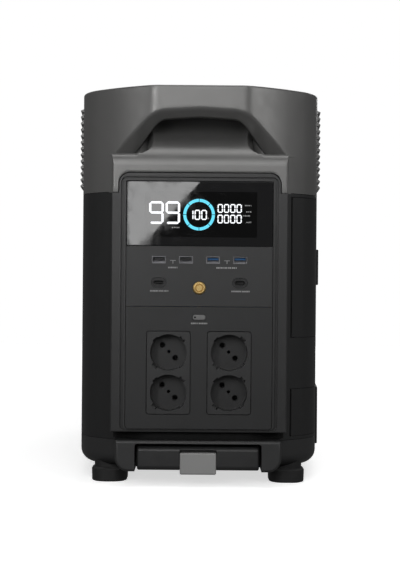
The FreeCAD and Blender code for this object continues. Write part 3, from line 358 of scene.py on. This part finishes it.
def bezier(a, b, c, count):
    """A quadratic curve from a to c that heads for b."""
    u = np.linspace(0, 1, count)[:, None]
    return (1 - u) ** 2 * np.array(a) + 2 * u * (1 - u) * np.array(b) + u ** 2 * np.array(c)


def arc_points(centre, radius, start, stop, count):
    turn = np.radians(np.linspace(start, stop, count))
    return np.stack([centre[0] + radius * np.cos(turn), centre[1] + radius * np.sin(turn)], 1)


# points that a column spends on the face, the ramp, the scoop, the facet, the wall and the top edge
FACE_COUNT, SLOPE_COUNT, POCKET_COUNT, FACET_COUNT, WALL_COUNT, TOP_COUNT = 10, 46, 34, 16, 9, 7


def face_bottom(x):
    """Lower edge of the block's face: the arch over the console, then the leg beside it."""
    straight = ARCH_HALF - ARCH_ROUND
    if x > ARCH_HALF:
        return BLOCK_LOW
    if x <= straight:
        return ARCH_TOP
    return ARCH_TOP - ARCH_ROUND + math.sqrt(max(ARCH_ROUND ** 2 - (x - straight) ** 2, 0))


# the ramp in the middle of the scoop
RAMP_START, RAMP_ROUND, RAMP_TURN = 0.332, 0.026, 60
RAMP_END, RAMP_KNEE, RAMP_TOP = 0.369, 0.3765, 0.386
# the lip between the ramp and the ledge: a concave quarter round below a steep flank
LIP_FOOT, LIP_FLANK, LIP_ROUND, LIP_TOP = 0.0640, 0.0505, 0.0135, 0.359
BLEND = 0.0045
EDGE_ROUND, EDGE_INSIDE = 0.0009, 0.009      # the face's lower edge and how far its underside reaches in


def front_mass(x, back_depth):
    """(depth, height) points up the block's face and back over the scoop or the ledge."""
    bend = arc_points((RAMP_ROUND, RAMP_START), RAMP_ROUND, 180, 180 - RAMP_TURN, 18)
    slope_end = (back_depth - 0.013, RAMP_END)
    sweep = bezier(slope_end, (back_depth, RAMP_KNEE), (back_depth, RAMP_TOP), 12)
    ramp = along(np.concatenate([bend, sweep]), SLOPE_COUNT)
    shared = ramp[ramp[:, 1] <= LEDGE - 0.005]
    brow = bezier(shared[-1], (shared[-1][0] + 0.0018, LEDGE), (0.0085, LEDGE), 10)
    flat = np.concatenate([brow, [(back_depth, LEDGE)]])
    ledge = np.concatenate([shared, along(flat, SLOPE_COUNT - len(shared) + 1)[1:]])
    share = smoothstep((x - lip_place(ramp[:, 1])) / BLEND + 0.35)[:, None]
    both = ramp * (1 - share) + ledge * share
    low = face_bottom(x)
    face = np.stack([np.zeros(FACE_COUNT), np.linspace(low + EDGE_ROUND, RAMP_START, FACE_COUNT)], 1)
    face[0] = (EDGE_ROUND / 3, low + EDGE_ROUND / 3)
    start = np.array([[EDGE_INSIDE, low], [EDGE_ROUND, low]])
    lead = max(x - (BLOCK_HALF - BLOCK_CORNER), 0)
    rounding = BLOCK_CORNER - math.sqrt(max(BLOCK_CORNER ** 2 - lead ** 2, 0))
    whole = np.concatenate([start, face, both[1:]])
    whole[:, 0] = np.maximum(whole[:, 0], rounding)
    return whole


def lip_place(height):
    """|x| where the scoop's side lip stands at each height."""
    inside = LIP_ROUND ** 2 - (LIP_TOP - height) ** 2
    place = np.where(height < LIP_TOP, LIP_FOOT - np.sqrt(np.clip(inside, 0, None)), LIP_FLANK)
    place = np.where(height < LIP_TOP - LIP_ROUND, LIP_FOOT, place)
    return place + 0.004 * smoothstep((height - 0.362) / 0.02)


# the scoop's depth in the middle and beside it, and the hooked roof over fingers in the middle
SCOOP_DEEP, SCOOP_SHALLOW, HOOK_BACK, HOOK_ROUND = 0.052, 0.0345, 0.028, 0.004
NOSE, RIDGE_EASE = 0.0016, 0.0035       # rounding of the lip and of the grip's front edge


def end_profile(x):
    """(depth, height) of one column of the end, from the block's lower edge to the top's rounding."""
    (_, wall_y), _ = wall_at(x)
    wall = wall_y - FRONT_Y
    ridge = softened(x, RIDGE_LINE)
    lip = softened(x, LIP_LINE)
    lip_depth = softened(x, LIP_DEPTH)
    back = SCOOP_DEEP - (SCOOP_DEEP - SCOOP_SHALLOW) * smoothstep((x - 0.040) / 0.030)
    back = max(back, lip_depth)
    mass = front_mass(x, back)
    top_of_mass = mass[-1]
    hook = 1 - smoothstep((x - 0.034) / 0.010)
    roof = lip + (ROOF - lip) * hook
    bar_back = lip_depth + (HOOK_BACK - lip_depth) * hook
    r = HOOK_ROUND * hook
    pocket = along([
        top_of_mass, (back, max(roof - r, top_of_mass[1])), (back - r, max(roof, top_of_mass[1])),
        (bar_back + r, max(roof, lip)), (bar_back, max(roof - r, lip)), (bar_back, lip + 0.003 * hook),
        (bar_back - 0.003 * hook, lip)], POCKET_COUNT)
    out = np.array([wall - lip_depth, ridge - lip])
    reach = max(np.linalg.norm(out), 1e-6)
    out = out / reach
    ease = min(RIDGE_EASE, reach * 0.3)
    lip_point = np.array([lip_depth, lip])
    ridge_point = np.array([wall, ridge])
    lip_turn = bezier(lip_point + (min(NOSE, 0.3 * reach), 0), lip_point, lip_point + out * NOSE, 5)
    ridge_turn = bezier(ridge_point - out * ease, ridge_point, ridge_point + (0, ease), 7)
    facet = np.concatenate([lip_turn, along([lip_turn[-1], ridge_turn[0]], FACET_COUNT - 10)[1:-1],
                            ridge_turn])
    upper = np.linspace(ridge + ease, TOP_Z - TOP_ROUND, WALL_COUNT + 1)[1:]
    above = np.stack([np.full(WALL_COUNT, wall), upper], 1)
    return np.concatenate([mass, pocket[1:], facet, above])


def column(x, collapse=False):
    """The 3-D points of one column at the front right, up to the rim of the flat top."""
    (plan_x, plan_y), heading = wall_at(x)
    profile = end_profile(x)
    depth = profile[:, 0]
    if collapse:
        depth = np.maximum(depth, plan_y - FRONT_Y)
    points = np.stack([np.full(len(depth), plan_x), FRONT_Y + depth, profile[:, 1]], 1)
    return np.concatenate([points, rim(plan_x, plan_y, heading)])


def rim(plan_x, plan_y, heading):
    """The rounded top edge, drawn in along the wall's normal."""
    turn = math.radians(heading)
    normal = np.array([math.sin(turn), -math.cos(turn), 0])
    sweep = np.radians(np.linspace(0, 90, TOP_COUNT))[1:]
    base = np.array([plan_x, plan_y, 0])
    ring = [base - normal * TOP_ROUND * (1 - math.cos(a)) + (0, 0, TOP_Z - TOP_ROUND * (1 - math.sin(a)))
            for a in sweep]
    return np.array(ring)


def side_column(arc, heading, heights):
    """A column on the plain wall beyond the block, from the seam up."""
    plan_x, plan_y = arc.at(heading)
    count = len(heights)
    points = np.stack([np.full(count, plan_x), np.full(count, plan_y), heights], 1)
    return np.concatenate([points, rim(plan_x, plan_y, heading)])


SEAM_GAP = 0.0004
GRILLE_BESIDE, GRILLE_BELOW = 0.0008, 0.0004      # gap from the side grille to the window's edges


def grille_window():
    """How far along Y and how high up the opening for a side grille starts."""
    grille_low, grille_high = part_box("side_grille_right")
    return grille_high[1] + GRILLE_BESIDE, grille_low[2] - GRILLE_BELOW


def hood_quarter(window_y, window_z):
    """Columns of points from the middle of the front to the middle of the right side."""
    edge = BLOCK_HALF - 0.00002
    spots = np.concatenate([np.linspace(0, 0.036, 13), np.linspace(0.036, 0.071, 56),
                            np.linspace(0.071, 0.0842, 12), np.linspace(0.0844, 0.0882, 5),
                            np.linspace(0.0884, edge, 9)])
    quarter = [column(x) for x in np.unique(np.round(spots, 7))]
    quarter.append(column(edge, collapse=True))
    heights = np.maximum(quarter[-1][:1 - TOP_COUNT, 2], SEAM_Z + SEAM_GAP)
    heights[:2] = SEAM_Z + SEAM_GAP
    heights[2:2 + FACE_COUNT] = np.linspace(SEAM_Z + 0.0006, RAMP_START, FACE_COUNT)
    heights[np.argmin(np.abs(heights - window_z))] = window_z
    window_heading = 90 - math.degrees(math.asin(window_y / SIDE.radius))
    turns = [(END, END.heading_at(BLOCK_HALF), END_TURN, 4), (CORNER, END_TURN, CORNER_TURN, 17),
             (SIDE, CORNER_TURN, window_heading, 5), (SIDE, window_heading, 90, 9)]
    for arc, start, stop, steps in turns:
        quarter += [side_column(arc, heading, heights) for heading in np.linspace(start, stop, steps)[1:]]
    return np.array(quarter)


def hood():
    """The upper cover as one smooth skin: walls, rounded top, blocks, facets, scoops and grip bars."""
    window_y, window_z = grille_window()
    quarter = hood_quarter(window_y, window_z)
    rear = quarter[:-1][::-1] * (1, -1, 1)
    left_rear = quarter[1:] * (-1, -1, 1)
    left_front = quarter[1:-1][::-1] * (-1, 1, 1)
    ring = np.concatenate([quarter, rear, left_rear, left_front])
    columns, rows = ring.shape[:2]
    wall_rows = rows - TOP_COUNT            # the rows above these round the top edge
    middle = (ring[:, :-1] + ring[:, 1:]) / 2
    faces = []
    for i in range(columns):
        j = (i + 1) % columns
        y_max = np.maximum(np.abs(ring[i, :, 1]), np.abs(ring[j, :, 1]))
        beside = (np.abs(ring[i, :, 0]) > 0.12) & (y_max < window_y + 1e-5)
        for k in range(rows - 1):
            if beside[k] and k < wall_rows and middle[i, k, 2] > window_z:
                continue
            faces.append((i * rows + k, j * rows + k, j * rows + k + 1, i * rows + k + 1))
    faces.append(tuple(i * rows + rows - 1 for i in range(columns)))
    mesh = bpy.data.meshes.new("hood_skin")
    mesh.from_pydata(ring.reshape(-1, 3).tolist(), [], faces)
    tidy(mesh, 38)
    piece = link("hood", mesh, "root", SKIN["hood"])
    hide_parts("hood_shell")


def tidy(mesh, sharp_angle, merge=1e-6):
    """Merges doubled points, drops empty faces and keeps only real corners sharp."""
    work = bmesh.new()
    work.from_mesh(mesh)
    bmesh.ops.remove_doubles(work, verts=work.verts, dist=merge)
    bmesh.ops.dissolve_degenerate(work, edges=work.edges, dist=merge)
    loose = [v for v in work.verts if not v.link_faces]
    bmesh.ops.delete(work, geom=loose, context="VERTS")
    limit = math.radians(sharp_angle)
    for face in work.faces:
        face.smooth = True
    for edge in work.edges:
        edge.smooth = len(edge.link_faces) == 2 and edge.calc_face_angle(0) < limit
    work.to_mesh(mesh)
    work.free()


HARD_EDGE, KEPT_EDGE, SAME_PLANE = math.radians(32), math.radians(36), math.radians(1.2)


def eased(name, width, key, shape=None):
    """A copy of a CAD node with its hard edges rounded over, which then stands for the node."""
    node = NODES[name]
    work = bmesh.new()
    work.from_mesh(node.data)
    bmesh.ops.remove_doubles(work, verts=work.verts, dist=2e-6)
    bmesh.ops.dissolve_limit(work, angle_limit=SAME_PLANE, verts=work.verts, edges=work.edges)
    if shape is not None:
        for vert in work.verts:
            shape(vert.co)
    hard = [e for e in work.edges if len(e.link_faces) == 2 and e.calc_face_angle(0) > HARD_EDGE]
    bmesh.ops.bevel(work, geom=hard, offset=width, segments=3, profile=0.5, affect="EDGES",
                    clamp_overlap=True)
    for face in work.faces:
        face.smooth = True
    for edge in work.edges:
        edge.smooth = len(edge.link_faces) == 2 and edge.calc_face_angle(0) < KEPT_EDGE
    mesh = bpy.data.meshes.new(name + "_skin")
    work.to_mesh(mesh)
    work.free()
    piece = link(name + "_finish", mesh, node["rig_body"], SKIN[key])
    weighted(piece)
    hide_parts(name)


def weighted(piece):
    """Flat faces stay flat-shaded up to their rounded edges."""
    modifier = piece.modifiers.new("normals", "WEIGHTED_NORMAL")
    modifier.keep_sharp = True
    modifier.weight = 100


# ---------------------------------------------------------------- finish of every CAD node
SKIN = {}


def make_skins():
    """Colours are linear; the roughness follows each colour."""
    SKIN["hood"] = moulded("hood_grey", (0.152, 0.151, 0.148), 0.36, 2600, 0.14, 0.03, flake=0.50)
    SKIN["shell"] = moulded("shell_charcoal", (0.0120, 0.0122, 0.0125), 0.46, 2200, 0.25)
    SKIN["tray"] = moulded("tray_charcoal", (0.0225, 0.0227, 0.0231), 0.46, 2200, 0.25)
    SKIN["cover"] = moulded("cover_rubber", (0.0105, 0.0106, 0.0109), 0.52, 1900, 0.3)
    SKIN["frame"] = moulded("frame_black", (0.0205, 0.0206, 0.0209), 0.40, 3000, 0.12)
    SKIN["bar"] = moulded("bar_black", (0.0190, 0.0191, 0.0195), 0.42, 2400, 0.2)
    SKIN["panel"] = moulded("panel_charcoal", (0.0212, 0.0215, 0.0220), 0.46, 3000, 0.15)
    SKIN["ac"] = moulded("ac_panel_charcoal", (0.0140, 0.0142, 0.0146), 0.48, 3000, 0.15)
    SKIN["socket"] = moulded("socket_black", (0.0215, 0.0216, 0.0220), 0.42, 3000, 0.12)
    SKIN["rubber"] = moulded("rubber_black", (0.006, 0.006, 0.0062), 0.62, 1800, 0.4, sheen=0.05)
    # painted shade: a near-black matte for the strip that stands in for the shadow in the slot under each
    # console frame
    SKIN["foam"] = moulded("slot_foam", (0.0015, 0.0015, 0.0015), 0.95, 900, 0.6)
    SKIN["glass"] = moulded("screen_black", (0.009, 0.009, 0.0095), 0.035, 400, 0.0)
    SKIN["lcd"] = moulded("lcd_black", (0.0003, 0.0003, 0.0004), 0.035, 400, 0.0)
    SKIN["lit_white"] = glowing("display_white", (0.95, 0.97, 1.0), 0.9)
    SKIN["lit_cyan"] = glowing("display_cyan", (0.09, 0.56, 0.73), 1.0)
    SKIN["print"] = plain("marking_grey", (0.30, 0.30, 0.30), 0.6)
    SKIN["dot"] = plain("lamp_off", (0.004, 0.004, 0.004), 0.2)
    SKIN["plastic"] = moulded("port_black", (0.005, 0.005, 0.0055), 0.35, 2500, 0.1)
    SKIN["blue"] = moulded("port_blue", (0.010, 0.13, 0.36), 0.38, 2500, 0.1)
    SKIN["button"] = moulded("button_grey", (0.15, 0.15, 0.148), 0.45, 2600, 0.15)
    SKIN["tab"] = moulded("tab_grey", (0.258, 0.258, 0.255), 0.46, 2600, 0.25)
    SKIN["tyre"] = moulded("tyre_rubber", (0.010, 0.010, 0.010), 0.75, 900, 0.5)
    SKIN["hub"] = moulded("hub_grey", (0.035, 0.035, 0.037), 0.5, 2200, 0.3)
    SKIN["board"] = moulded("board_green", (0.01, 0.09, 0.035), 0.3, 700, 0.3)
    SKIN["cells"] = moulded("cell_wrap", (0.03, 0.10, 0.28), 0.35, 900, 0.15)
    SKIN["ferrite"] = moulded("winding", (0.22, 0.09, 0.03), 0.4, 500, 0.5)
    SKIN["gold"] = metal("gold_anodised", (0.60, 0.42, 0.17), 0.42, grain=1500)
    SKIN["steel"] = metal("port_steel", (0.20, 0.20, 0.21), 0.35, (1, 0.05, 1))
    SKIN["clip"] = metal("clip_steel", (0.07, 0.07, 0.07), 0.5, (1, 0.05, 1))
    SKIN["brass"] = moulded("shutter_black", (0.0012, 0.0012, 0.0012), 0.5, 900, 0.1)
    SKIN["copper"] = metal("busbar_copper", (0.75, 0.34, 0.18), 0.35, (1, 0.05, 1))
    SKIN["alloy"] = metal("tube_alloy", (0.50, 0.50, 0.51), 0.32, (1, 0.03, 1))


FINISH = {
    "hood": ["side_grille_right", "side_grille_left"],
    "shell": ["lower_shell", "base_tray", "wheel_arches"],
    "frame": ["console_frame", "rear_frame", "trolley_grip"],
    "panel": ["front_panel", "ac_panel", "corner_bays", "rear_panel", "rear_bay"],
    "socket": ["socket_module_left", "socket_module_right"],
    "rubber": ["front_feet", "side_bumpers", "side_cover_upper", "side_cover_lower", "rear_cover"],
    "glass": ["screen_glass"],
    "lcd": ["lcd_module"],
    "plastic": ["usb_a_tongues", "usb_c_ports", "car_socket", "dc_jacks", "battery_port", "ac_inlet",
                "solar_port", "breaker_button_left", "breaker_button_right", "axle_caps", "battery_frame",
                "fan_frames", "fan_rotor_right", "fan_rotor_left"],
    "blue": ["usb_a_fast_tongues"],
    "button": ["ac_button", "dc_button", "charge_speed_switch"],
    "tab": ["trolley_release_tab"],
    "tyre": ["tyre_left", "tyre_right"],
    "hub": ["wheel_hub_left", "wheel_hub_right"],
    "board": ["circuit_boards"],
    "cells": ["battery_cells"],
    "ferrite": ["transformer", "capacitors"],
    "gold": ["power_button"],
    "clip": ["earth_clips"],
    "steel": ["usb_a_shells", "tray_screws", "axle", "trolley_guides"],
    "brass": ["socket_contacts"],
    "copper": ["busbars"],
    "alloy": ["trolley_tubes", "heatsink"],
}


def dress_nodes():
    """Gives the CAD nodes listed in FINISH their materials, also the ones that a finer copy stands for."""
    for key, names in FINISH.items():
        for name in names:
            node = NODES[name]
            if not node.material_slots:
                node.data.materials.append(SKIN[key])
            for slot in node.material_slots:
                slot.material = SKIN[key]


def ease_nodes():
    """Rounds the visible moulded edges; sizes are the radii a moulder would leave."""
    plan = [
        ("console_frame", 0.0007, "frame", "frame_black"), ("rear_frame", 0.0007, "frame", "frame_black"),
        ("front_panel", 0.0003, "panel", "panel_charcoal"), ("ac_panel", 0.0005, "ac", "panel_charcoal"),
        ("socket_module_left", 0.0004, "socket", "socket_black"),
        ("socket_module_right", 0.0004, "socket", "socket_black"),
        ("screen_glass", 0.0005, "glass", "screen_glass"),
        ("base_tray", 0.0009, "tray", "shell_charcoal"), ("lower_shell", 0.0006, "shell", "shell_charcoal"),
        ("trolley_grip", 0.0022, "bar", "frame_black"), ("trolley_release_tab", 0.0012, "tab", "button_grey"),
        ("side_cover_upper", 0.0008, "cover", "rubber"), ("side_cover_lower", 0.0008, "cover", "rubber"),
        ("side_bumpers", 0.0005, "rubber", "rubber"),
        ("rear_panel", 0.0004, "panel", "panel_charcoal"), ("rear_cover", 0.0005, "cover", "rubber"),
    ]
    for name, width, key, slot in plan:
        eased(name, width, key)
    eased("front_feet", 0.001, "rubber", shape=splayed)


FOOT_INNER, PAD_HEIGHT, SPLAY = 0.0755, 0.013, 0.02


def splayed(point):
    """Feet are a little wider at the top of the pad than on the floor."""
    middle = (abs(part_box("front_feet")[0][0]) + FOOT_INNER) / 2
    share = 1 - SPLAY * max(0.0, 1 - point.z / PAD_HEIGHT)
    sign = 1 if point.x > 0 else -1
    point.x = sign * (middle + (abs(point.x) - middle) * share)


# half width of the strip of painted shade in the slot under each console frame
SLOT_SHADE_HALF = 0.0895


def slot_shade_strip():
    """A near-black strip at the back of the slot under each console frame: painted shade that stands in for
    the slot's deep shadow.
    """
    frame_low = FRAME_LOW[2]
    spots = np.linspace(-SLOT_SHADE_HALF, SLOT_SHADE_HALF, 25)
    for name, sign in (("slot_foam_front", 1), ("slot_foam_rear", -1)):
        work = bmesh.new()
        loops = []
        for depth, z0, z1 in ((0.0095, 0.0480, frame_low + 0.0008), (0.0075, 0.0486, frame_low - 0.0006),
                              (0.0066, 0.0510, frame_low - 0.0030)):
            ring = [(x, z0) for x in spots] + [(x, z1) for x in spots[::-1]]
            loops.append([work.verts.new((x, sign * (FRONT_Y + depth + pull(x)), z)) for x, z in ring])
        for a, b in zip(loops[:-1], loops[1:]):
            for i in range(len(a)):
                j = (i + 1) % len(a)
                work.faces.new((a[i], a[j], b[j], b[i]))
        count = len(loops[-1]) // 2
        front_loop = loops[-1]
        for i in range(count - 1):
            work.faces.new((front_loop[i], front_loop[i + 1], front_loop[-2 - i], front_loop[-1 - i]))
        bmesh.ops.recalc_face_normals(work, faces=work.faces)
        mesh = bpy.data.meshes.new(name)
        work.to_mesh(mesh)
        work.free()
        tidy(mesh, 50)
        link(name, mesh, "root", SKIN["foam"])


def pull(x):
    """How much further back the case's wall is at |x| than at the middle."""
    (_, y), _ = wall_at(min(abs(x), SLOT_SHADE_HALF))
    return (y - FRONT_Y - SETBACK) * 0.85


# ---------------------------------------------------------------- display and markings
SEGMENTS = {"0": "abcdef", "1": "bc", "9": "abcdfg"}


class Flat:
    """Thin raised shapes on a plane that faces -Y."""

    def __init__(self, y, thickness=0.00006):
        self.work = bmesh.new()
        self.y, self.thickness = y, thickness

    def shape(self, corners):
        """A slab over (x, z) corners, in millimetres, listed anticlockwise as seen from -Y."""
        front = [self.work.verts.new((x * MM, self.y - self.thickness, z * MM)) for x, z in corners]
        back = [self.work.verts.new((x * MM, self.y, z * MM)) for x, z in corners]
        self.work.faces.new(front)
        for i in range(len(front)):
            j = (i + 1) % len(front)
            self.work.faces.new((front[j], front[i], back[i], back[j]))

    def bar(self, x0, x1, z0, z1):
        """An upright rectangle."""
        self.shape([(x0, z0), (x1, z0), (x1, z1), (x0, z1)])

    def digit(self, character, x, z, width, height, stroke):
        """A seven-segment digit with its lower left corner at (x, z)."""
        half, gap = stroke / 2, stroke * 0.06
        left, right = x + half, x + width - half
        low, mid, high = z + half, z + height / 2, z + height - half
        for segment in SEGMENTS[character]:
            if segment in "adg":
                level = {"a": high, "d": low, "g": mid}[segment]
                a, b = left + gap, right - gap
                self.shape([(a, level), (a + half, level - half), (b - half, level - half), (b, level),
                            (b - half, level + half), (a + half, level + half)])
            else:
                side = right if segment in "bc" else left
                a, b = (mid + gap, high - gap) if segment in "bf" else (low + gap, mid - gap)
                self.shape([(side, a), (side + half, a + half), (side + half, b - half), (side, b),
                            (side - half, b - half), (side - half, a + half)])

    def number(self, text, x, z, width, pitch, height, stroke):
        """Digits side by side, `pitch` apart."""
        for i, character in enumerate(text):
            self.digit(character, x + i * pitch, z, width, height, stroke)

    def ring(self, x, z, outer, inner, parts, gap):
        """A ring in equal parts with small gaps between them."""
        for part in range(parts):
            start = 2 * math.pi * part / parts + gap / outer / 2
            stop = 2 * math.pi * (part + 1) / parts - gap / outer / 2
            turns = np.linspace(start, stop, 13)
            for a, b in zip(turns[:-1], turns[1:]):
                self.shape([(x + r * math.cos(t), z + r * math.sin(t))
                            for r, t in ((inner, a), (outer, a), (outer, b), (inner, b))])

    def dashes(self, x0, x1, z, height, seed):
        """A row of small blocks, the size a caption would have."""
        rng = np.random.default_rng(seed)
        x = x0
        while x < x1 - 0.4:
            width = min(rng.uniform(0.8, 1.5), x1 - x)
            self.bar(x, x + width, z - height / 2, z + height / 2)
            x += width + rng.choice([0.35, 0.35, 0.8])

    def disc(self, x, z, radius):
        """A round spot."""
        self.shape([(x + radius * math.cos(t), z + radius * math.sin(t))
                    for t in np.linspace(0, 2 * math.pi, 33)[:-1]])

    def done(self, name, body, key):
        """Turns what was drawn into one object."""
        mesh = bpy.data.meshes.new(name)
        self.work.to_mesh(mesh)
        self.work.free()
        link(name, mesh, body, SKIN[key])


LAYER = 0.00004       # thickness of the lit window that the digits and the ring stand on


def display():
    """The lit window on the glass: two digits, a ring round three, two rows of four."""
    glass = GLASS_LOW[1]
    window = Flat(glass, LAYER)
    window.bar(-56.9, 59.0, 258.2, 305.2)
    window.done("display_window", "root", "lcd")
    lit = Flat(glass - LAYER)
    lit.number("99", -52.3, 271.7, 15.0, 16.9, 23.3, 2.3)
    lit.number("100", -12.4, 276.1, 5.9, 6.9, 10.4, 1.25)
    for z in (283.6, 272.7):
        lit.number("0000", 18.2, z, 5.5, 6.5, 9.0, 1.15)
    lit.done("display_digits", "root", "lit_white")
    small = Flat(glass - LAYER)
    for i, (x0, x1, z) in enumerate(((46.3, 52.9, 291.2), (47.8, 52.9, 284.7), (44.9, 52.9, 280.6),
                                     (47.8, 52.9, 273.9), (-28.7, -21.0, 268.1), (6.9, 9.3, 277.6))):
        small.dashes(x0, x1, z, 1.2, i)
    small.done("display_captions", "root", "print")
    ring = Flat(glass - LAYER)
    ring.ring(-0.8, 281.5, 16.3, 13.2, 8, 0.7)
    ring.done("display_ring", "root", "lit_cyan")


def markings():
    """Printed marks in place of captions, and the lamp on the mains button."""
    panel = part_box("front_panel")[0][1]
    ink = Flat(panel, 0.00005)
    for x in (-27.4, 28.4):
        ink.bar(x - 2.9, x + 2.9, 233.9, 234.4)
        ink.bar(x - 0.3, x + 0.3, 230.9, 233.9)
    captions = ((-32.2, -22.8, 226.8), (17.4, 38.7, 226.8), (-50.8, -31.9, 202.6), (33.1, 51.9, 202.6))
    for i, (x0, x1, z) in enumerate(captions):
        ink.dashes(x0, x1, z, 1.5, 20 + i)
    ink.done("usb_captions", "root", "print")
    ink = Flat(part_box("ac_panel")[0][1], 0.00005)
    ink.dashes(-8.3, 8.5, 169.4, 1.5, 31)
    ink.done("mains_caption", "root", "print")
    dot = Flat(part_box("ac_button")[0][1], 0.00005)
    dot.disc(-4.2, 175.6, 1.0)
    dot.done("mains_lamp", "ac_button", "dot")


make_skins()
camera()
studio()
dress_nodes()
ease_nodes()
slot_shade_strip()
hood()
display()
markings()
